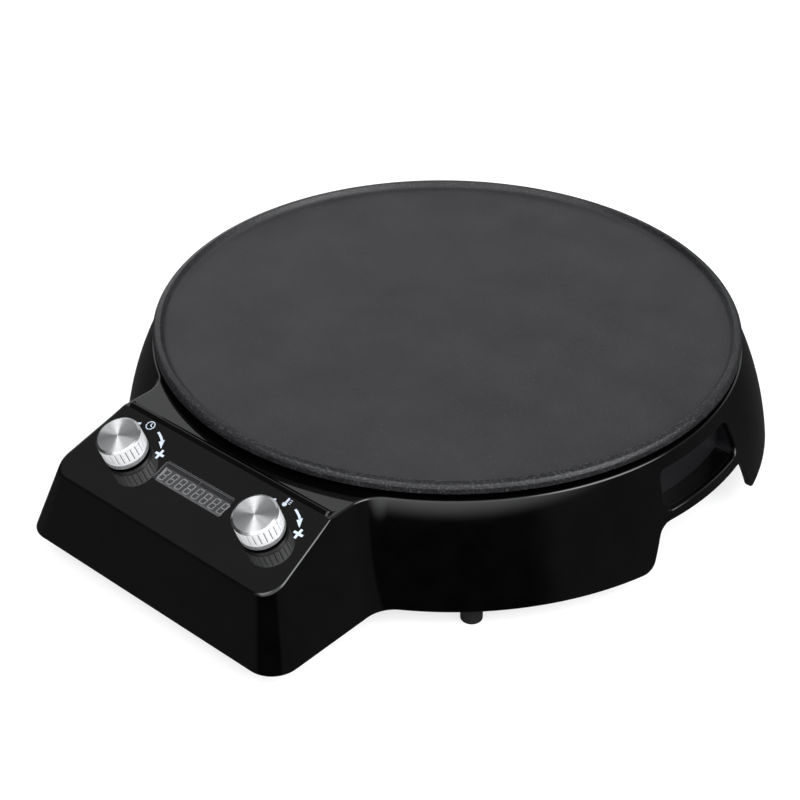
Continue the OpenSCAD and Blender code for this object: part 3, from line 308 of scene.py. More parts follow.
class Paint(Nodes):
    """A material and its shader."""

    def __init__(self, name, **values):
        self.material = bpy.data.materials.new(name)
        self.material.use_nodes = True
        super().__init__(self.material.node_tree)
        self.shader = self.tree.nodes["Principled BSDF"]
        for key, value in values.items():
            self.shader.inputs[key.replace("_", " ").title().replace("Ior", "IOR")].default_value = value

    def noise(self, size, detail=2.0, rough=0.5, vector=None):
        """Noise with features of about that size in metres."""
        node = self.add("ShaderNodeTexNoise")
        for key, number in (("Scale", 1 / size), ("Detail", detail), ("Roughness", rough)):
            node.inputs[key].default_value = number
        self.join(vector or self.coords(), node.inputs["Vector"])
        return node.outputs["Fac"]

    def colors(self, value, low, high):
        """Colours from low to high; low may be another node's."""
        node = self.add("ShaderNodeMix", data_type="RGBA")
        if isinstance(low, tuple):
            node.inputs["A"].default_value = (*low, 1)
        else:
            self.join(low, node.inputs["A"])
        node.inputs["B"].default_value = (*high, 1)
        self.join(value, node.inputs["Factor"])
        return node.outputs["Result"]

    def paint(self, value, low, high):
        self.join(self.colors(value, low, high), self.shader.inputs["Base Color"])

    def rough(self, value):
        self.join(value, self.shader.inputs["Roughness"])

    def bump(self, height, depth, strength):
        node = self.add("ShaderNodeBump")
        node.inputs["Strength"].default_value = strength
        node.inputs["Distance"].default_value = depth
        self.join(height, node.inputs["Height"])
        self.join(node.outputs["Normal"], self.shader.inputs["Normal"])


def gloss_black():
    n = Paint("gloss_black_plastic", ior=1.52, specular_ior_level=0.5)
    tone = n.range(n.noise(0.012, 3), 0.35, 0.65, 0, 1)
    n.paint(tone, (0.0007, 0.0007, 0.0008), (0.0011, 0.0011, 0.0012))
    n.rough(n.range(n.noise(0.02, 4), 0.3, 0.7, 0.04, 0.07))
    n.bump(n.noise(0.06, 2), 0.0003, 0.1)
    return n.material


def cup_black():
    """Fine matte walls over a glossy floor, told apart by which way the surface faces; by the same split the
    walls are painted a lighter black and the floor a darker one, as painted light and shade.
    """
    n = Paint("handle_cup_black_painted_shade", ior=1.5)
    level = n.range(n.split(n.coords("Normal"))[2], 0.3, 0.9, 0, 1)
    grain = n.noise(0.0006, 2)
    # painted light and shade: the upright walls a lighter black, the floor a darker black, picked by which way
    # the surface faces
    n.paint(level, (0.0055, 0.0055, 0.0068), (0.001, 0.001, 0.0011))
    n.rough(n.math("ADD", n.range(level, 0, 1, 0.36, 0.06), n.math("MULTIPLY", grain, 0.08)))
    n.bump(grain, 0.00002, 0.3)
    return n.material


def griddle_coat(name, low, high, fleck_share, rough):
    """Dark non-stick coating with a fine pebbled grain and pale flecks."""
    n = Paint(name, ior=1.45, specular_ior_level=0.45)
    where = n.coords()
    fine = n.noise(0.0009, 3, 0.6, where)
    soft = n.noise(0.03, 3, 0.5, where)
    fleck = n.range(n.noise(0.0011, 1, 0.5, where), fleck_share, fleck_share + 0.08, 0, 0.3)
    tone = n.math("ADD", n.range(soft, 0.3, 0.7, 0, 0.4), n.range(fine, 0.35, 0.65, 0, 0.6))
    n.paint(fleck, n.colors(tone, low, high), (0.1, 0.1, 0.105))
    n.rough(n.range(fine, 0.3, 0.7, rough, rough + 0.14))
    n.bump(fine, 0.00024, 0.8)
    return n.material


def spun_aluminium():
    """Metal with fine turned rings, which stretch its highlights into wedges."""
    n = Paint("spun_aluminium", metallic=1.0, anisotropic=0.96, anisotropic_rotation=0.25, ior=1.5)
    x, y, z = n.split(n.coords())
    line = n.add("ShaderNodeCombineXYZ")
    radius = n.math("SQRT", n.math("ADD", n.math("MULTIPLY", x, x), n.math("MULTIPLY", y, y)))
    n.join(radius, line.inputs["X"])
    n.join(z, line.inputs["Y"])
    ring = n.noise(0.00022, 2, 0.6, line.outputs["Vector"])
    n.paint(ring, (0.66, 0.66, 0.67), (0.86, 0.86, 0.87))
    n.rough(n.range(ring, 0.3, 0.7, 0.3, 0.38))
    n.bump(ring, 0.00003, 0.5)
    tangent = n.add("ShaderNodeTangent", direction_type="RADIAL", axis="Z")
    n.join(tangent.outputs["Tangent"], n.shader.inputs["Tangent"])
    return n.material


def plain(name, low, high, rough, size=0.004, bump=0.0, grain=0.0005, **values):
    """A moulded, pressed or turned finish with mottled colour, uneven gloss and a fine grain."""
    n = Paint(name, **values)
    where = n.coords()
    n.paint(n.range(n.noise(size, 3, 0.5, where), 0.3, 0.7, 0, 1), low, high)
    n.rough(n.range(n.noise(size * 0.6, 2, 0.5, where), 0.3, 0.7, rough * 0.85, rough * 1.15))
    if bump:
        n.bump(n.noise(grain, 2, 0.5, where), bump, 0.5)
    return n.material


BLACK = gloss_black()
COAT = griddle_coat("griddle_coating", (0.0095, 0.0093, 0.0112), (0.0255, 0.0253, 0.0288), 0.68, 0.46)
RIM_COAT = griddle_coat("griddle_rim_coating", (0.004, 0.004, 0.0045), (0.014, 0.014, 0.0155), 0.56, 0.3)
ALU = spun_aluminium()
CUP = cup_black()
LCD = plain("lcd_frame", (0.02, 0.02, 0.022), (0.03, 0.03, 0.032), 0.4)
SLOT_LOOK = {
    "griddle_coating": COAT, "gloss_black": BLACK, "spun_aluminium": ALU, "clear_window": LCD, "lcd": LCD,
    "brass_terminal": plain("brass", (0.6, 0.45, 0.19), (0.72, 0.56, 0.26), 0.3, metallic=1.0),
}
for slot, low, high, rough, values in (
        ("knob_plastic", (0.01, 0.01, 0.011), (0.016, 0.016, 0.017), 0.5, dict(bump=0.00005)),
        ("foot_rubber", (0.005, 0.005, 0.005), (0.009, 0.009, 0.009), 0.6, dict(bump=0.00008)),
        ("cover_black", (0.016, 0.016, 0.017), (0.022, 0.022, 0.023), 0.5, dict(bump=0.0001, grain=0.0007)),
        ("element_sheath", (0.16, 0.155, 0.15), (0.26, 0.24, 0.22), 0.45,
         dict(size=0.008, bump=0.00003, metallic=1.0)),
        ("ceramic", (0.74, 0.72, 0.66), (0.84, 0.82, 0.77), 0.45, dict(bump=0.00003)),
        ("plated_steel", (0.5, 0.5, 0.51), (0.64, 0.64, 0.66), 0.32,
         dict(size=0.006, bump=0.00002, metallic=1.0)),
        ("sensor_body", (0.5, 0.47, 0.4), (0.62, 0.59, 0.52), 0.5, {}),
        ("circuit_board", (0.006, 0.075, 0.028), (0.012, 0.11, 0.045), 0.35, dict(size=0.003)),
        ("black_part", (0.012, 0.012, 0.013), (0.02, 0.02, 0.021), 0.42, dict(bump=0.00005)),
        ("relay_blue", (0.02, 0.09, 0.32), (0.03, 0.12, 0.4), 0.35, {}),
        ("winding", (0.5, 0.32, 0.05), (0.62, 0.42, 0.09), 0.4, dict(size=0.001)),
        ("terminal_green", (0.02, 0.22, 0.07), (0.04, 0.3, 0.1), 0.4, {}),
        ("fuse_glass", (0.55, 0.6, 0.6), (0.66, 0.7, 0.7), 0.12, {}),
        ("heatsink", (0.42, 0.42, 0.43), (0.52, 0.52, 0.53), 0.38, dict(metallic=1.0)),
        ("wire_insulation", (0.5, 0.03, 0.025), (0.6, 0.05, 0.04), 0.45, dict(size=0.002))):
    SLOT_LOOK[slot] = plain(slot, low, high, rough, **values)


# ---------- housing: one skin with rounded edges ----------

PANEL_N = vec(0, -sin(TILT), cos(TILT))
UP_SLOPE = vec(0, cos(TILT), sin(TILT))
STRIP_BACK, STRIP_FRONT = -166.0, -178.0  # the strip across the box that holds the fold
BEAD_END = 71.4
FORE_STEPS, REAR_STEPS = 22, 40  # points of the skirt's lower edge before and behind the arch


def skirt_rad(z, inset=0.0):
    return BULGE_X + sqrt((BULGE_R - inset) ** 2 - (z - BULGE_Z) ** 2)


def skirt_off(q, z, inset=0.0):
    """How far out the skirt is at level z, on the line q beside the axis."""
    return sqrt(skirt_rad(z, inset) ** 2 - q * q)


def skirt_point(phi, z, inset=0.0):
    """The skirt's point at that angle and level, with its normal."""
    r = skirt_rad(z, inset)
    c, s = cos(phi), sin(phi)
    h, v = (r - BULGE_X) / (BULGE_R - inset), (z - BULGE_Z) / (BULGE_R - inset)
    return vec(r * c, r * s, z), vec(h * c, h * s, v)


def right_phi(y, z, inset=0.0):
    return asin(y / skirt_rad(z, inset))


def slope_z(y):
    return CREASE_Z + (y - CREASE_Y) * tan(TILT)


def on_slope(s, h):
    """The (y, z) point s down the panel's slope from the crease and h above it."""
    c, t = cos(TILT), sin(TILT)
    return CREASE_Y - s * c - h * t, CREASE_Z - s * t + h * c


def panel_at(x, s, h=0.0):
    """The point on the control panel at x across and s down the slope, h above its face."""
    return vec(x, CREASE_Y, CREASE_Z) - s * UP_SLOPE + h * PANEL_N


def panel_xy(x, s):
    return (x, CREASE_Y - s * cos(TILT))


def fold_rows():
    """Two sections across the fold between deck and panel, from the deck forward: with the bead, and flat."""
    back_foot = (CREASE_Y + 2.33, DECK_Z)
    crest, front_foot = on_slope(0.25, 1.05), on_slope(2.9, 0)
    front = (STRIP_FRONT, slope_z(STRIP_FRONT))
    last = (FOLD_Y - 0.25, slope_z(FOLD_Y - 0.25))
    bead = [(STRIP_BACK, DECK_Z)] + corner((-160, DECK_Z), back_foot, crest, 0.5, 3)
    bead += corner(back_foot, crest, front_foot, 0.8, 6) + corner(crest, front_foot, front, 1.5, 4)
    bead += [last, front]
    n = len(bead)
    flat = [(STRIP_BACK + (FOLD_Y + 0.25 - STRIP_BACK) * i / (n - 2), DECK_Z) for i in range(n - 3)]
    return bead, flat + [(FOLD_Y + 0.2, DECK_Z), last, front]


BEAD_ROWS, FLAT_ROWS = fold_rows()


class Shell:
    """The housing's outer skin, or its inner one drawn inward by an inset."""

    def __init__(self, inset=0.0):
        self.inset = inset
        self.flip = -1 if inset else 1
        self.deck = DECK_Z - inset
        self.side_in = inset * sqrt(1 + SIDE ** 2)
        self.front_in = inset * sqrt(1 + FRONT ** 2)
        self.drop = inset / cos(TILT)
        self.fold = FOLD_Y + (self.drop - inset) / tan(TILT)
        self.columns = self.blend_columns() + self.side_columns() + self.corner_columns()

    def level(self, t):
        return BASE_Z + (self.deck - BASE_Z) * t

    def half(self, z):
        return BOX_HALF - (z - BASE_Z) * SIDE - self.side_in

    def front(self, z):
        return -FRONT_REACH + (z - BASE_Z) * FRONT + self.front_in

    def round(self, z):
        """Radius of the front corners at level z."""
        return CORNER_R - self.inset - CORNER_LOSS * (z - BASE_Z)

    def panel_z(self, y):
        return CREASE_Z - self.drop + (y - CREASE_Y) * tan(TILT)

    def blend(self, z):
        """Centre, end angle and radius of the hollow blend at level z."""
        b = BLEND_R + self.inset
        x, r = self.half(z) + b, skirt_rad(z, self.inset) + b
        y = -sqrt(r * r - x * x)
        return x, y, atan2(-y, -x), b

    def on_blend(self, s, z):
        x, y, a1, b = self.blend(z)
        a = a1 + (pi - a1) * s
        return vec(x + b * cos(a), y + b * sin(a), z)

    # A column runs up the wall: point(t) and normal(t) at a share t of its height, its fillets' directions
    # at the top and at the low end, the top face's normal, and the top fillet's size f.

    def blend_columns(self):
        """Columns of the hollow blend, from the skirt forward."""
        cols, n = [], 12
        a1 = self.blend(self.deck)[2]
        for i in range(n):
            s = i / n

            def normal(t, s=s):
                z = self.level(t)
                du = self.on_blend(s + 0.01, z) - self.on_blend(s - 0.01, z)
                dv = self.on_blend(s, z + 0.5) - self.on_blend(s, z - 0.5)
                return unit(np.cross(dv, du))

            out = ray(a1 + (pi - a1) * s)
            cols.append(dict(point=lambda t, s=s: self.on_blend(s, self.level(t)), normal=normal,
                             top_in=out, low_in=out, top_n=UP, f=1.0))
        return cols

    def side_columns(self):
        """Columns of the side wall, from the blend's tangent forward to the corner."""
        t = tan(TILT)
        a_front = self.front(0) + self.round(0)
        z_corner = (CREASE_Z - self.drop + (a_front - CREASE_Y) * t) / (1 - (FRONT - CORNER_LOSS) * t)
        y_corner = self.front(z_corner) + self.round(z_corner)
        y_back = self.blend(self.deck)[1]
        ys = [y_back, -161.0, -163.0, STRIP_BACK] + [p[0] for p in FLAT_ROWS[1:-1]]
        ys += [STRIP_FRONT + (y_corner - STRIP_FRONT) * k / 6 for k in range(6)]
        if self.inset:
            ys = [y_back, -163.0, self.fold, -185.0, -195.0]
        low_back, low_front = self.blend(BASE_Z)[1], self.front(BASE_Z) + self.round(BASE_Z)
        side_n, inward, cols = unit((1, 0, SIDE)), vec(-1, 0, 0), []
        for y_top in ys:
            s = (y_top - y_back) / (y_corner - y_back)
            z_top = min(self.panel_z(y_top), self.deck)
            y_low = low_back + (low_front - low_back) * s

            def point(t, s=s, z_top=z_top, y_top=y_top, y_low=y_low):
                z = BASE_Z + (z_top - BASE_Z) * t
                off = self.blend(self.level(t))[1] - (low_back + (y_back - low_back) * t)
                return vec(self.half(z), y_low + (y_top - y_low) * t + (1 - s) * off, z)

            cols.append(dict(point=point, normal=lambda t: side_n, top_in=inward, low_in=inward,
                             top_n=PANEL_N if y_top < self.fold else UP,
                             f=1.0 + 0.7 * min(1, max(0, (self.fold - y_top) / 8))))
        return cols

    def corner_columns(self):
        """Columns of the front corner, and one at the middle of the front, which closes the right half."""
        cols, n, t = [], 14, tan(TILT)
        for i in range(n + 1):
            c, s = cos(-pi / 2 * i / n), sin(-pi / 2 * i / n)

            def at_z(z, c=c, s=s):
                r = self.round(z)
                return vec(self.half(z) - r + r * c, self.front(z) + r + r * s, z)

            base, top = at_z(0.0), at_z(1.0)
            z_top = (CREASE_Z - self.drop + (base[1] - CREASE_Y) * t) / (1 - (top[1] - base[1]) * t)
            wall_n = unit((c, s, SIDE * c - FRONT * s + CORNER_LOSS * (1 + s - c)))
            cols.append(dict(point=lambda u, at_z=at_z, z_top=z_top: at_z(BASE_Z + (z_top - BASE_Z) * u),
                             normal=lambda u, wall_n=wall_n: wall_n, top_in=-c * vec(1, 0, 0) - s * UP_SLOPE,
                             low_in=-vec(c, s, 0), top_n=PANEL_N, f=1.7 - 0.4 * i / n))
        last = cols[-1]
        return cols + [dict(last, point=lambda u: last["point"](u) * (0, 1, 1))]

    def mirrored(self):
        """All columns, from the skirt on the right round the front to the skirt on the left."""
        flip = vec(-1, 1, 1)
        left = []
        for c in reversed(self.columns[:-1]):
            left.append(dict(c, point=lambda t, c=c: c["point"](t) * flip,
                             normal=lambda t, c=c: c["normal"](t) * flip,
                             top_in=c["top_in"] * flip, low_in=c["low_in"] * flip))
        return self.columns + left

    def reach(self, y):
        """Index of the first point of the box's upper line that is at y."""
        return next(i for i, q in enumerate(self.upper) if abs(q[1] - y) < 1e-6)

    def front_line(self, y):
        """The box's upper line from y on the right round the front to y on the left, as seen from above."""
        k = self.reach(y)
        return plan(self.upper[k:len(self.upper) - k])


def bend(a, c, b, n_a, n_b, steps=5):
    """A fillet from a by the sharp corner c to b, as (point, normal) pairs."""
    out = []
    for k in range(steps + 1):
        t = k / steps
        out.append(((1 - t) ** 2 * a + 2 * t * (1 - t) * c + t * t * b, unit(mix(n_a, n_b, t))))
    return out


def pocket_line(grow=0.0):
    """Outline of the right hand window, as seen along X."""
    low, high = POCKET_LOW, POCKET_LOW + POCKET_H
    a, b = POCKET_HALF + grow, POCKET_HALF - POCKET_LEAN * POCKET_H + grow
    pts = [(-a, low - grow), (a, low - grow), (b, high + grow), (-b, high + grow)]
    return [(y + HANDLE_SHIFT, z) for y, z in refine(rounded(pts, [5 + grow] * 4, 8), 4)]


def arch_line(grow):
    """The arch's edge from its rear foot to its front foot, as seen along X, drawn outward by grow.

    It goes on along the lower edge at both ends, and stays level there.
    """
    low = ARCH_HALF + (ARCH_TOP - BASE_Z) * ARCH_LEAN
    out = low + 3 * ARCH_R
    pts = [(out, BASE_Z), (low, BASE_Z), (ARCH_HALF, ARCH_TOP)]
    pts += [(-y, z) for y, z in reversed(pts)]
    line = [q for i in range(1, 5) for q in corner(pts[i - 1], pts[i], pts[i + 1], ARCH_R, 8)]
    line = refine([(y + HANDLE_SHIFT, z) for y, z in line], 4, closed=False)
    if not grow:
        return line
    grown = []
    for i, p in enumerate(line):
        ahead = unit(np.array(line[min(i + 1, len(line) - 1)]) - line[max(i - 1, 0)])
        if i in (0, len(line) - 1):
            ahead = (-1.0, 0)
        grown.append((p[0] + grow * ahead[1], p[1] - grow * ahead[0]))
    return grown


def bay_line(grow):
    """Outline of the inlet's bay, as seen along Y."""
    line = box_line(BAY_W + grow, BAY_H + grow, BAY_R + grow, 5)
    return [(x, INLET_Z + z) for x, z in refine(line, 5)]


def window_line(grow=0.0, r=1.5, n=5):
    """Outline of the display window on the panel, as (x, s)."""
    return box_line(WINDOW_W / 2 + grow, WINDOW_H / 2 + grow, r, n, WINDOW_X, WINDOW_S)


def box_walls(skin, shell, rows=14):
    """The box's upright wall, with fillets on the outer skin. The shell keeps the lines along its edges."""
    wall, top_lips, low_lips = [], [], []
    for c in shell.mirrored():
        point, normal = c["point"], c["normal"]
        length = dist(point(0), point(1))
        t0, t1 = (0.0, 1.0) if shell.inset else (LIP / length, 1 - c["f"] / length)
        ts = [t0 + (t1 - t0) * k / rows for k in range(rows + 1)]
        wall.append([(point(t), normal(t) * shell.flip) for t in ts])
        top, low = point(1), point(0)
        top_lips.append(bend(point(t1), top, top + c["f"] * c["top_in"], normal(1), c["top_n"]))
        low_lips.append(bend(point(t0), low, low + LIP * c["low_in"], normal(0), DOWN))
    skin.grid(wall)
    shell.end = wall[0]
    shell.upper, shell.lower = [w[-1][0] for w in wall], [w[0][0] for w in wall]
    if not shell.inset:
        skin.grid(top_lips)
        skin.grid(low_lips)
        shell.top_lips, shell.low_lips = top_lips, low_lips
        shell.upper, shell.lower = [lip[-1][0] for lip in top_lips], [lip[-1][0] for lip in low_lips]


def skirt_wall(skin, shell):
    """One skin of the skirt, with its hand windows, arches and bay, as a patch of (angle, level) points."""
    ins = shell.inset
    z_low, z_top = shell.end[0][0][2], shell.end[-1][0][2]
    phi = atan2(shell.end[-1][0][1], shell.end[-1][0][0])
    n_top = ceil((pi - 2 * phi) / rad(2))
    top = [phi + (pi - 2 * phi) * k / n_top for k in range(n_top + 1)]
    side = [(atan2(p[1], p[0]), p[2]) for p, _ in shell.end]
    arch = [(y, max(z, z_low)) for y, z in reversed(arch_line(0.0 if ins else LIP))]
    arch = [(right_phi(y, z, ins), z) for y, z in arch]
    (start, _), (end, _) = arch[0], arch[-1]
    fore = [(side[0][0] + (start - side[0][0]) * k / FORE_STEPS, z_low) for k in range(FORE_STEPS)]
    rear = [(end + (pi / 2 - end) * k / REAR_STEPS, z_low) for k in range(1, REAR_STEPS + 1)]
    right = fore + arch + rear
    mirror = lambda line: [(pi - p, z) for p, z in line]
    shell.skirt_low, shell.skirt_top, shell.skirt_top_z = right + mirror(right[-2::-1]), top, z_top
    loop = shell.skirt_low + mirror(side[1:]) + [(p, z_top) for p in top[-2:0:-1]] + side[:0:-1]
    window = [(right_phi(y, z, ins), z) for y, z in pocket_line(0.0 if ins else POCKET_LIP)]
    bay = [(acos(x / skirt_rad(z, ins)), z) for x, z in bay_line(BAY_WALL if ins else LIP)]
    wide = 180.0  # angles to millimetres, so that the triangles come out even
    spread = lambda line: [(p * wide, z) for p, z in line]
    extra = [(p * wide, z) for p in np.arange(phi, pi - phi, rad(2.2))
             for z in np.arange(BASE_Z + 4, DECK_Z - 1, 5.6)]

    def lift(u, z):
        p, n = skirt_point(u / wide, z, ins)
        return p, n * shell.flip

    skin.patch(spread(loop), [spread(window), spread(mirror(window)), spread(bay)], lift, extra, 2.0)


def pocket_lips(skin):
    """Edges of the hand windows: a rounded lip, then straight in to the inner skin."""
    for sx in (1, -1):
        rows = []
        for g, p in zip(pocket_line(POCKET_LIP), pocket_line()):
            edge = vec(skirt_off(*p), *p)
            n_in = -unit((0, g[0] - p[0], g[1] - p[1]))
            n_out = skirt_point(right_phi(*g), g[1])[1]
            lip = bend(vec(skirt_off(*g), *g), edge, edge - vec(POCKET_LIP, 0, 0), n_out, n_in)
            lip.append((vec(skirt_off(*p, WALL), *p), n_in))
            rows.append([(q * (sx, 1, 1), n * (sx, 1, 1)) for q, n in lip])
        skin.grid(rows + rows[:1])


def lower_edge(skin, outer, inner):
    """Lower edge of the skirt and its arches, with a lip and a flat, and the box's flat lower edge."""
    arch, n = arch_line(0.0)[::-1], len(outer.skirt_low)
    sharp = [(p, BASE_Z) for p, _ in outer.skirt_low[:n // 2 + 1]]
    sharp[FORE_STEPS:FORE_STEPS + len(arch)] = [(right_phi(y, z), z) for y, z in arch]
    sharp += [(pi - p, z) for p, z in sharp[-2::-1]]
    rows = []
    for i, ((p, z), (ps, zs), (pi_, zi)) in enumerate(zip(outer.skirt_low, sharp, inner.skirt_low)):
        out, n_out = skirt_point(p, z)
        edge, within = skirt_point(ps, zs)[0], skirt_point(pi_, zi, WALL)[0]
        inward = unit((within[0] - edge[0], within[1] - edge[1], 0))
        ahead = unit(skirt_point(*sharp[min(i + 1, n - 1)])[0] - skirt_point(*sharp[max(i - 1, 0)])[0])
        edge_n = np.cross(inward, ahead)
        if edge_n[2] > 0:
            edge_n = -edge_n
        rows.append(bend(out, edge, edge + LIP * inward, n_out, edge_n) + [(within, edge_n)])
    for k in (0, -1):
        rows[k] = outer.low_lips[k] + rows[k][-1:]
    skin.grid(rows)
    skin.patch(plan(outer.lower + inner.lower[::-1]), [], lambda x, y: (vec(x, y, BASE_Z), DOWN))


def fold_strip(skin, outer):
    """The fold across the box, with the bead that ends short of both edges; gives its rows of points."""
    first = outer.reach(STRIP_BACK)
    near_end = [65, 69, 70.6, BEAD_END, 71.8, 72.1, 72.3, 72.5, 72.9]
    middle = [-x for x in reversed(near_end)] + [-60 + 12 * k for k in range(11)] + near_end
    rows = []
    for i, (flat, bead) in enumerate(zip(FLAT_ROWS, BEAD_ROWS)):
        x_edge = outer.upper[first + i][0]
        row = []
        for x in [-x_edge] + middle + [x_edge]:
            w = 1.0 if abs(x) <= BEAD_END else max(0.0, 1 - (abs(x) - BEAD_END) / 1.1)
            row.append(vec(x, *mix(flat, bead, sqrt(max(0, 1 - (1 - w) ** 2)))))
        rows.append(row)
    pairs = [[(p, UP) for p in rows[0]]]
    for back, row, front in zip(rows, rows[1:], rows[2:]):
        ends = zip([row[0]] + row[:-1], row[1:] + [row[-1]])
        pairs.append([(p, unit(np.cross(unit(r - l), unit(a - b))))
                      for p, (l, r), a, b in zip(row, ends, back, front)])
    skin.grid(pairs + [[(p, PANEL_N) for p in rows[-1]]])
    return rows


def deck_and_panel(skin, outer):
    """The skirt's top edge, the deck round the well, the fold, and the panel with its holes, which it gives."""
    lips = []
    for p in outer.skirt_top:
        edge = skirt_point(p, DECK_Z)[0]
        out, n_out = skirt_point(p, outer.skirt_top_z)
        lips.append(bend(out, edge, edge - ray(p), n_out, UP))
    lips[0], lips[-1] = outer.top_lips[0], outer.top_lips[-1]
    skin.grid(lips)
    strip = fold_strip(skin, outer)
    side = plan(outer.upper[1:outer.reach(STRIP_BACK) + 1])
    loop = plan([lip[-1][0] for lip in lips]) + [(-x, y) for x, y in side]
    loop += plan(strip[0][-2:0:-1]) + side[::-1]
    skin.patch(loop, [circle(WELL_R, 2)], lambda x, y: (vec(x, y, DECK_Z), UP))
    front = strip[-1]
    holes = [[panel_xy(*q) for q in window_line()]]
    holes += [[panel_xy(*q) for q in circle(BORE_R, 12, sx * KNOB_X, KNOB_S)] for sx in (-1, 1)]
    skin.patch(outer.front_line(front[-1][1]) + plan(front[1:-1]), holes,
               lambda x, y: (vec(x, y, slope_z(y)), PANEL_N))
    return holes


def undersides(skin, inner, holes):
    """Undersides of deck and panel, drawn inward by the wall."""
    z = DECK_Z - WALL
    r = skirt_rad(z, WALL)
    side = plan(inner.upper[1:inner.reach(inner.fold) + 1])
    loop = [(r * cos(p), r * sin(p)) for p in inner.skirt_top] + [(-x, y) for x, y in side] + side[::-1]
    skin.patch(loop, [circle(WELL_R + WALL, 2)], lambda x, y: (vec(x, y, z), DOWN))
    moved = [[(x, y + WALL * sin(TILT)) for x, y in hole] for hole in holes]
    skin.patch(inner.front_line(inner.fold), moved, lambda x, y: (vec(x, y, inner.panel_z(y)), -PANEL_N))


def hole_rims(skin, holes):
    for hole in holes:
        mid = np.mean(np.array(hole), 0)
        rows = []
        for x, y in hole:
            p, n = vec(x, y, slope_z(y)), unit(np.append(mid - (x, y), 0))
            rows.append([(p, n), (p - WALL * PANEL_N, n)])
        skin.grid(rows + rows[:1])


def bay_walls(skin):
    """The recess behind the power inlet, from both skins to its back wall."""
    mouth = [(x, INLET_Z + z) for x, z in box_line(MOUTH_W, MOUTH_H, MOUTH_R, 4)]
    for ins, grow, back, flip in ((0.0, 0.0, PLATE_R, 1), (WALL, BAY_WALL, PLATE_R - BAY_WALL, -1)):
        line, rows = bay_line(grow), []
        for p, g in zip(line, bay_line(grow + LIP)):
            toward = unit((g[0] - p[0], 0, g[1] - p[1]))
            edge = vec(p[0], skirt_off(*p, ins), p[1])
            lip = [(edge, toward)]
            if not ins:
                n_out = skirt_point(acos(g[0] / skirt_rad(g[1])), g[1])[1]
                lip = bend(vec(g[0], skirt_off(*g), g[1]), edge, edge - vec(0, LIP, 0), n_out, -toward)
            rows.append(lip + [(vec(p[0], back, p[1]), -toward * flip)])
        skin.grid(rows + rows[:1])
        skin.patch(line, [mouth], lambda x, z: (vec(x, back, z), (0, flip, 0)))
    rows = []
    for x, z in mouth:
        n = unit((-x, 0, INLET_Z - z))
        rows.append([(vec(x, PLATE_R, z), n), (vec(x, PLATE_R - BAY_WALL, z), n)])
    skin.grid(rows + rows[:1])


def around(count):
    return [2 * pi * k / count for k in range(count)]


def revolve(skin, profile, angles, slot=0):
    """Turns a profile of ((r, z), (nr, nz)) pairs about the axis."""
    skin.grid([[(vec(r * cos(a), r * sin(a), z), vec(nr * cos(a), nr * sin(a), nz)) for a in angles]
               for (r, z), (nr, nz) in profile], closed=True, slot=slot)


def make_housing():
    skin = Skin()
    outer, inner = Shell(), Shell(WALL)
    for shell in (outer, inner):
        box_walls(skin, shell)
    for shell in (outer, inner):
        skirt_wall(skin, shell)
    pocket_lips(skin)
    lower_edge(skin, outer, inner)
    holes = deck_and_panel(skin, outer)
    undersides(skin, inner, holes)
    hole_rims(skin, holes)
    well = [(WELL_R, DECK_Z), (WELL_R, SHELF_Z), (SHELF_R, SHELF_Z), (SHELF_R, SHELF_Z - WALL),
            (WELL_R + WALL, SHELF_Z - WALL), (WELL_R + WALL, DECK_Z - WALL)]
    normals = [(-1, 0), (0, 1), (-1, 0), (0, -1), (1, 0)]
    revolve(skin, [(p, n) for a, b, n in zip(well, well[1:], normals) for p in (a, b)], around(180))
    bay_walls(skin)
    return skin


make_housing().build("housing_shell", [BLACK], "base", ["housing"], "gloss_black")


# ---------- turned pieces ----------


def section(points, radii, n=5):
    """An open section as (point, normal) pairs, with its corners rounded and outward on the left."""
    pts = [np.array(p, float) for p in points]
    out = []
    for i, p in enumerate(pts):
        d_in = unit(p - pts[i - 1]) if i else unit(pts[1] - p)
        d_out = unit(pts[i + 1] - p) if i < len(pts) - 1 else d_in
        n_in, n_out = vec(-d_in[1], d_in[0]), vec(-d_out[1], d_out[0])
        if i in (0, len(pts) - 1):
            out.append((p, n_in))
        elif not radii[i]:
            out += [(p, n_in), (p, n_out)]
        else:
            a0 = atan2(n_in[1], n_in[0])
            turn = (atan2(n_out[1], n_out[0]) - a0 + pi) % (2 * pi) - pi
            for k, q in enumerate(corner(pts[i - 1], p, pts[i + 1], radii[i], n)):
                a = a0 + turn * k / n
                out.append((q, (cos(a), sin(a))))
    return out


def make_griddle():
    """The plate, whose rim has the rim's coating from its inner slope outward."""
    skin = Skin()
    r, crest = PLATE_R, RIM_Z + 1.4
    points = [(0, COOK_Z), (80, COOK_Z), (157.8, COOK_Z), (160.8, crest), (163.8, crest - 0.9),
              (r, crest - 2.8), (r, RIM_Z - 4.2), (r - 1.5, RIM_Z - 5), (WELL_R - 2, UNDER_Z), (0, UNDER_Z)]
    line = section(points, [0, 0, 3.2, 0.8, 3, 1, 0.5, 0.5, 0.5, 0], 6)
    edge = next(i for i, (p, _) in enumerate(line) if p[1] > COOK_Z + 0.9)
    revolve(skin, line[:edge + 1], around(240))
    revolve(skin, line[edge:], around(240), 1)
    return skin


make_griddle().build("griddle_plate_coated", [COAT, RIM_COAT], "base", ["griddle_plate"], "griddle_coating")


def knob_matrix(side):
    x, z = Vector((1, 0, 0)), Vector(PANEL_N)
    turn = Matrix((x, z.cross(x), z)).transposed().to_4x4()
    return Matrix.Translation(at(panel_at(side * KNOB_X, KNOB_S))) @ turn


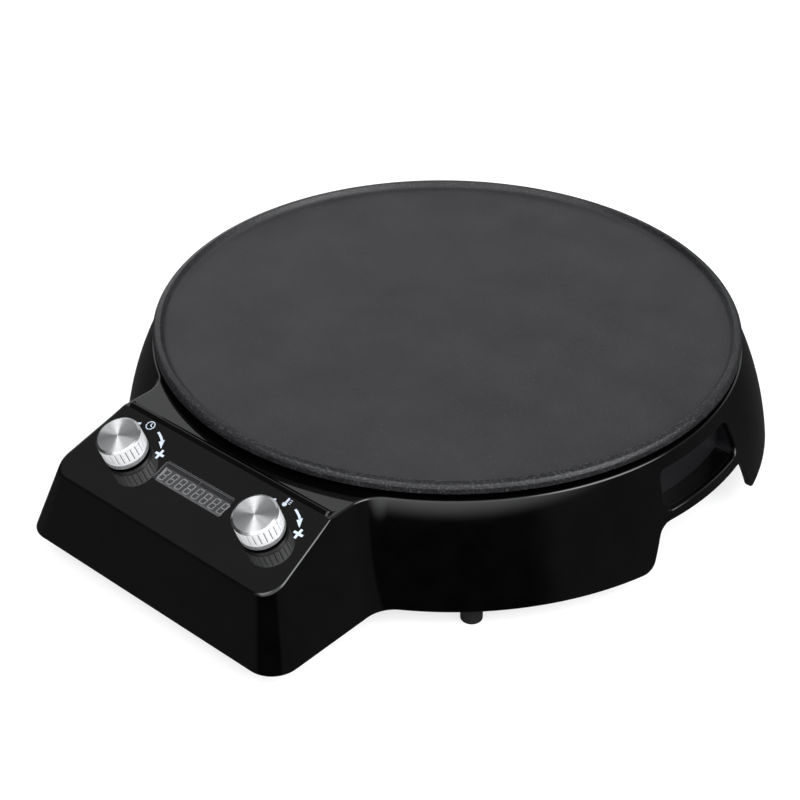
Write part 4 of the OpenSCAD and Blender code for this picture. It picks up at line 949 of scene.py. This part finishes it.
def make_knob():
    """The turned shell of a knob about its own axis: disc, bevel, grooved grip, seam, foot ring and hollow."""
    skin = Skin()
    # the grooves' slot and the foot ring's slot hold painted shade: darker greys in the grooves and low on the
    # side
    disc, edge, side, slit_shade, base = range(5)
    grooves, groove_low, groove_high = 26, 4.8, 12.9
    across = ((-0.27, 0), (-0.22, 0.35), (-0.15, 0.45), (0, 0.45), (0.15, 0.45), (0.22, 0.35), (0.27, 0))
    r, top, grip, flat_r, hollow_r, seam = KNOB_R, KNOB_H, KNOB_H - 0.9, 5, 10, 4.3
    angles, cut = [], []
    for g in range(grooves):
        angles += [2 * pi * g / grooves + off / r for off, _ in across] + [2 * pi * (g + 0.5) / grooves]
        cut += [depth for _, depth in across] + [0]
    bevel = section([(flat_r, top), (r - 1.3, top), (r, grip), (r, 8)], [0, 0.12, 0.15, 0], 3)[1:-1]
    revolve(skin, [((0, top), UP[1:]), ((flat_r, top), UP[1:]), (bevel[0][0], UP[1:])], angles, disc)
    revolve(skin, bevel, angles, edge)
    # the side, at levels with the share of the grooves' depth that each has
    levels = [(grip - 0.2, 0), (groove_high + 0.1, 0), (groove_high, 0.4), (groove_high - 0.15, 0.8),
              (groove_high - 0.4, 1), (9, 1), (groove_low + 0.4, 1), (groove_low + 0.15, 0.8),
              (groove_low, 0.4), (groove_low - 0.1, 0), (seam, 0)]
    grid = [[vec((r - w * c) * cos(a), (r - w * c) * sin(a), z) for a, c in zip(angles, cut)]
            for z, w in levels]
    m = len(angles)
    rows = []
    for i, row in enumerate(grid):
        line = []
        for j, p in enumerate(row):
            n, after = ray(angles[j]), (j + 1) % m
            if levels[i][1] and (cut[j] or cut[j - 1] or cut[after]):
                n = unit(np.cross(row[after] - row[j - 1], grid[i - 1][j] - grid[i + 1][j]))
            line.append((p, n))
        rows.append(line)
    for r0, r1 in zip(rows, rows[1:]):
        for j in range(m):
            k = (j + 1) % m
            points, normals = zip(r0[j], r0[k], r1[k], r1[j])
            # faces deep in a groove get the dark groove colour: painted shade in the grooves, with some dirt
            deep = all(r - hypot(q[0], q[1]) > 0.3 for q in points)
            skin.face(points, normals, slit_shade if deep else side)
    revolve(skin, [(bevel[-1][0], (1, 0)), ((r, grip - 0.2), (1, 0))], angles, side)
    foot = section([(r, 8), (r, 4.2), (r - 0.25, 4.0), (r, 3.8), (r, 1.3), (r - 0.3, 1.0), (hollow_r, 1.0),
                    (hollow_r, top - 2.6), (0, top - 2.6)], [0, 0.05, 0.05, 0.05, 0.1, 0.1, 0, 0, 0], 2)[1:]
    # the foot ring below the seam takes a darker grey: painted shade low on the knob's side, near the panel
    revolve(skin, [((r, seam), (1, 0))] + foot, angles, base)
    return skin


knob_skin = make_knob()
FINE = dict(size=0.003, bump=0.00001, grain=0.0002)
SIDE_ALU = plain("turned_aluminium", (0.84, 0.84, 0.85), (0.9, 0.9, 0.91), 0.3, metallic=0.2, **FINE)
# darker than the grip: painted shade low on the knob's side, near the panel
FOOT_SHADE_ALU = plain("foot_ring_painted_shade", (0.4, 0.4, 0.41), (0.48, 0.48, 0.49), 0.3, metallic=0.6, **FINE)
# a dark grey for the grooves' floors: painted shade in the grooves, with some dirt
SLIT_SHADE_ALU = plain("slit_painted_shade_and_dirt", (0.1, 0.1, 0.105), (0.16, 0.16, 0.165), 0.5, 0.001, metallic=0.3)
for side, word in ((-1, "time"), (1, "temp")):
    cut_alu = plain("cut_aluminium_" + word, (0.5, 0.5, 0.51), (0.6, 0.6, 0.61), 0.22, 0.003, metallic=1.0)
    knob_skin.build(word + "_knob_turned", [ALU, cut_alu, SIDE_ALU, SLIT_SHADE_ALU, FOOT_SHADE_ALU], word + "_control",
                    [word + "_knob"], "spun_aluminium", knob_matrix(side))

# ---------- the display window, its digits and the panel's marks ----------


def turns_left(outline):
    return sum(a[0] * b[1] - b[0] * a[1] for a, b in zip(outline, outline[1:] + outline[:1])) > 0


def prism(skin, outline, low, high, slot=0, hole=()):
    """A thin closed plate on the panel, from an outline of (x, s) points, between two heights."""
    loops = [outline] + ([hole] if hole else [])
    flat = [[(x, -t) for x, t in loop] for loop in loops]
    for h, n in ((high, PANEL_N), (low, -PANEL_N)):
        skin.patch(flat[0], flat[1:], lambda x, y: (panel_at(x, -y, h), n), slot=slot)
    for loop in loops:
        for a, b in zip(loop, loop[1:] + loop[:1]):
            n = unit((b[1] - a[1]) * vec(1, 0, 0) + (b[0] - a[0]) * UP_SLOPE)
            if turns_left(loop) == (loop is hole):
                n = -n
            four = [panel_at(*a, low), panel_at(*b, low), panel_at(*b, high), panel_at(*a, high)]
            skin.face(four, [n] * 4, slot)


def bar(a, b, width):
    """Outline of a straight bar between two points, with pointed ends as on a segment display."""
    a, b = np.array(a), np.array(b)
    d = unit(b - a)
    n, e = vec(-d[1], d[0]) * width / 2, d * width / 2
    return [tuple(q) for q in (a, a + e + n, b - e + n, b, b - e - n, a + e - n)]


def line(a, b, width):
    a, b = np.array(a), np.array(b)
    n = vec(-(b - a)[1], (b - a)[0]) / dist(a, b) * width / 2
    return [tuple(q) for q in (a + n, b + n, b - n, a - n)]


def box(left, right, top, low):
    return [(left, top), (right, top), (right, low), (left, low)]


def arc(center, r, start, end, steps=10):
    return [(center[0] + r * cos(rad(start + (end - start) * k / steps)),
             center[1] - r * sin(rad(start + (end - start) * k / steps))) for k in range(steps + 1)]


def make_display():
    """The window's plate with its printed frame, the display's field and eight digits."""
    skin = Skin()
    grey, field, pale, bright = range(4)
    left, right = WINDOW_X - WINDOW_W / 2, WINDOW_X + WINDOW_W / 2
    top, low = WINDOW_S - WINDOW_H / 2, WINDOW_S + WINDOW_H / 2
    lcd_left, lcd_right, lcd_top, field_low, lcd_low = -23.3, 23.6, 22.1, 29.9, 30.7
    mark = lambda outline, high, slot: prism(skin, outline, -0.5, high, slot)
    prism(skin, window_line(-0.12, 1.4, 6), -1.5, 0.0, grey)
    mark(box(lcd_left, lcd_right, lcd_top, field_low), 0.03, field)
    mark(box(lcd_left, lcd_right, field_low + 0.02, lcd_low), 0.03, pale)
    for a, b, width in (((left + 1.4, top + 0.35), (right - 0.6, top + 0.35), 0.26),
                        ((left + 1.0, top + 1.15), (right - 0.4, top + 1.15), 0.3),
                        ((left + 0.45, top + 1.4), (left + 0.45, low - 1.6), 0.3),
                        ((left + 1.05, top + 1.3), (left + 1.05, low - 2.6), 0.22),
                        ((lcd_left, lcd_top - 0.1), (lcd_right, lcd_top - 0.1), 0.16),
                        ((0.2, top + 1.3), (0.2, lcd_top), 0.3),
                        ((lcd_left + 0.4, lcd_low + 0.2), (lcd_right - 0.4, lcd_low + 0.2), 0.2)):
        mark(line(a, b, width), 0.05, pale)
    mark(line((lcd_left + 0.3, lcd_top), (lcd_left + 0.3, field_low), 0.85), 0.06, bright)
    mark(line((lcd_right - 0.15, lcd_top + 0.6), (lcd_right - 0.15, lcd_low - 0.5), 0.4), 0.06, bright)
    # eight slanted digits, each with all seven segments and a dot
    first, pitch, wide, rows = -22.35, 6.1, 3.3, (22.9, 26.15, 29.4)
    stroke, gap, slant, slant_s, dot_r = 0.56, 0.06, 0.17, 26.1, 0.27
    at_row = lambda x, t: (x + (slant_s - t) * slant, t)
    segment = lambda x0, t0, x1, t1: mark(bar(at_row(x0, t0), at_row(x1, t1), stroke), 0.08, bright)
    for k in range(8):
        x = first + pitch * k
        for t in rows:
            segment(x + gap, t, x + wide - gap, t)
        for a, b in zip(rows, rows[1:]):
            for side in (0, wide):
                segment(x + side, a + gap, x + side, b - gap)
        mark(circle(dot_r, 45, *at_row(x + wide + 0.95, rows[-1])), 0.08, pale)
    return skin


def glass_print(name, low, high):
    return plain(name, low, high, 0.12, 0.006, ior=1.5)


WINDOW_PRINTS = [glass_print("window_grey", (0.013, 0.013, 0.0145), (0.016, 0.016, 0.0175)),
                 glass_print("lcd_field", (0.038, 0.038, 0.04), (0.046, 0.046, 0.048)),
                 glass_print("frame_print", (0.075, 0.075, 0.078), (0.09, 0.09, 0.092)),
                 glass_print("digit_print", (0.17, 0.17, 0.175), (0.2, 0.2, 0.205))]
make_display().build("display_window", WINDOW_PRINTS, "base", ["display_lens"], "clear_window")


def quarter_turned(points, k):
    """The points turned about the origin by k quarters."""
    for _ in range(k):
        points = [(-y, x) for x, y in points]
    return points


def make_marks():
    """Turn arrows and signs round each knob, a clock over the left one, a thermometer over the right one."""
    skin = Skin()
    low, high = -0.3, 0.05
    mark = lambda outline: prism(skin, outline, low, high)
    w, half = 0.72, 2.95  # half of a sign's stroke and of its length
    arrow_turn, sign_turn, sign_r = 21.5, 47.5, 18.7
    for side in (-1, 1):
        c = (side * KNOB_X, KNOB_S)
        for way, start in ((1, 72.5), (-1, 112)):
            turn = lambda a: start - way * a
            spot = lambda r, a: arc(c, r, turn(a), turn(a), 1)[0]
            mark(arc(c, 19.65, turn(0), turn(arrow_turn)) + arc(c, 18.4, turn(arrow_turn), turn(0)))
            mark([spot(17.2, arrow_turn - 1), spot(20.6, arrow_turn - 1), spot(18.5, arrow_turn + 15)])
            x, t = spot(sign_r, sign_turn)
            if way > 0:
                quarter = [(-w, -half), (w, -half), (w, -w)]
                plus = [q for k in range(4) for q in quarter_turned(quarter, k)]
                mark([(x + a, t + b) for a, b in plus])
            else:
                mark(box(x - half, x + half, t - w, t + w))
    # the clock
    x, t = -KNOB_X - 1.4, KNOB_S - 19.3
    ring = [arc((x, t), r, 0, 345, 23) for r in (2.75, 2.2)]
    prism(skin, ring[0], low, high, 0, ring[1])
    mark(line((x, t + 0.25), (x, t - 1.7), 0.5))
    mark(line((x + 0.26, t), (x + 1.4, t + 0.45), 0.5))
    # the thermometer and its scale
    x, tube_r = KNOB_X - 1.4, 0.62
    bulb = [(x - tube_r, t + 0.6)] + arc((x, t + 1.5), 1.3, 140, 400, 14) + [(x + tube_r, t + 0.6)]
    mark(arc((x, t - 2.0), tube_r, 0, 180) + bulb)
    for k in range(3):
        mark(line((x + 1.5, t - 1.9 + 1.1 * k), (x + 2.7, t - 1.9 + 1.1 * k), 0.42))
    return skin


PALE_PRINT = plain("pale_print", (0.5, 0.56, 0.66), (0.56, 0.62, 0.72), 0.4, 0.002)
make_marks().build("panel_marks", [PALE_PRINT], "base", (), "gloss_black")

# ---------- every other CAD node takes its slot's look ----------

for part in frame["record"]["subparts"]:
    obj = nodes[part["node"]]
    look = CUP if part["node"].endswith("handle_cup") else SLOT_LOOK[part["material_slot"]]
    obj.data.materials.clear()
    obj.data.materials.append(look)

# ---------- floor, light and camera ----------


def make_floor(half=4000):
    skin = Skin()
    skin.grid([[((-half, y, 0), UP), ((half, y, 0), UP)] for y in (-half, half)])
    n = Paint("pale_floor", roughness=0.9, specular_ior_level=0.1, emission_color=(1, 1, 1, 1),
              emission_strength=0.7)
    n.paint(n.range(n.noise(0.4, 2), 0.3, 0.7, 0, 1), (0.38, 0.38, 0.38), (0.4, 0.4, 0.4))
    obj = skin.build("floor", [n.material], None)
    obj.visible_glossy = False


make_floor()


def world():
    """White for the camera, and for all other rays a dark room with lit fields for the gloss to mirror."""
    w = bpy.data.worlds.new("studio")
    scene.world = w
    w.use_nodes = True
    w.node_tree.nodes.clear()
    n = Nodes(w.node_tree)
    x, y, z = n.split(n.coords("Generated"))
    times = lambda *values: n.math("MULTIPLY", *values)
    ramp = lambda v, a, b, to=1.0: n.range(v, a, b, 0.0, to, smooth=True)
    along = lambda *pairs: n.math("ADD", *[times(v, share) for v, share in pairs])
    # how far a direction points away from the camera, and to the camera's right
    away = along((x, -0.665), (y, 0.747))
    right = along((x, 0.747), (y, 0.665))
    # low down all is dark grey, and black towards the camera
    low = n.math("SUBTRACT", 0.085, times(ramp(away, -0.5, -0.75, 0.083), ramp(right, 0.62, 0.42)))
    low = n.math("SUBTRACT", low, ramp(away, 0.2, 0.6, 0.04))
    # the sky, brighter beyond the object, a wide field above the camera, and two lamps for the knobs' tops
    sky = n.math("ADD", ramp(z, 0.15, 0.5, 0.2), times(ramp(away, 0.48, 0.7), ramp(z, 0.1, 0.4, 0.63)))
    front = times(ramp(away, -0.15, -0.4), ramp(z, 0.2, 0.36, 1.8))
    lamp = ramp(along((x, -0.2), (y, -0.52), (z, 0.83)), 0.955, 0.985, 4.2)
    right_lamp = ramp(along((x, 0.76), (y, 0.2), (z, 0.618)), 0.9, 0.97, 5.0)
    high = n.math("ADD", sky, front, lamp, right_lamp)
    # a dark field on the left
    dark_left = times(ramp(right, -0.57, -0.7), ramp(z, 0.1, 0.3))
    high = times(high, n.math("SUBTRACT", 1.0, times(dark_left, 0.78)))
    low = times(low, n.math("SUBTRACT", 1.0, times(dark_left, 0.7)))
    # a glow low down beyond the object
    glow = times(ramp(away, 0.8, 0.92), ramp(right, 0.0, -0.2),
                 times(ramp(z, -0.3, -0.12), ramp(z, 0.35, 0.2)))
    room, pale = n.add("ShaderNodeBackground"), n.add("ShaderNodeBackground")
    room.inputs["Color"].default_value = (0.98, 0.99, 1.0, 1)
    n.join(n.math("ADD", low, high, glow), room.inputs["Strength"])
    pick = n.add("ShaderNodeMixShader")
    n.join(n.add("ShaderNodeLightPath").outputs["Is Camera Ray"], pick.inputs["Fac"])
    n.join(room.outputs["Background"], pick.inputs[1])
    n.join(pale.outputs["Background"], pick.inputs[2])
    n.join(pick.outputs["Shader"], n.add("ShaderNodeOutputWorld").inputs["Surface"])


world()


def area(name, place, target, size, power):
    """A soft rectangular light that no gloss mirrors."""
    data = bpy.data.lights.new(name, "AREA")
    data.shape = "RECTANGLE"
    data.size, data.size_y = size
    data.energy = power
    obj = bpy.data.objects.new(name, data)
    obj.location = place
    obj.rotation_euler = (Vector(target) - Vector(place)).to_track_quat("-Z", "Y").to_euler()
    obj.visible_glossy = False
    scene.collection.objects.link(obj)


area("overhead", (0.6, 0.2, 1.2), (0.05, 0.02, 0), (1.2, 1.2), 2)
area("front_low", (0.9, -1.35, 0.35), (0, -0.2, 0.05), (0.9, 0.4), 6)
area("key_back_left", (-1.3, 1.2, 1.1), (0, 0, 0.05), (1.2, 1.0), 6)

scene.view_settings.view_transform = "Standard"
camera = bpy.data.cameras.new("camera")
camera.lens = 82.35
camera.sensor_width = 36
camera.clip_start = 0.01
eye = bpy.data.objects.new("camera", camera)
eye.location = (0.56916, -0.65272, 0.60951)
eye.rotation_euler = (rad(56.21), 0, rad(41.71))
scene.collection.objects.link(eye)
scene.camera = eye

bpy.context.view_layer.update()
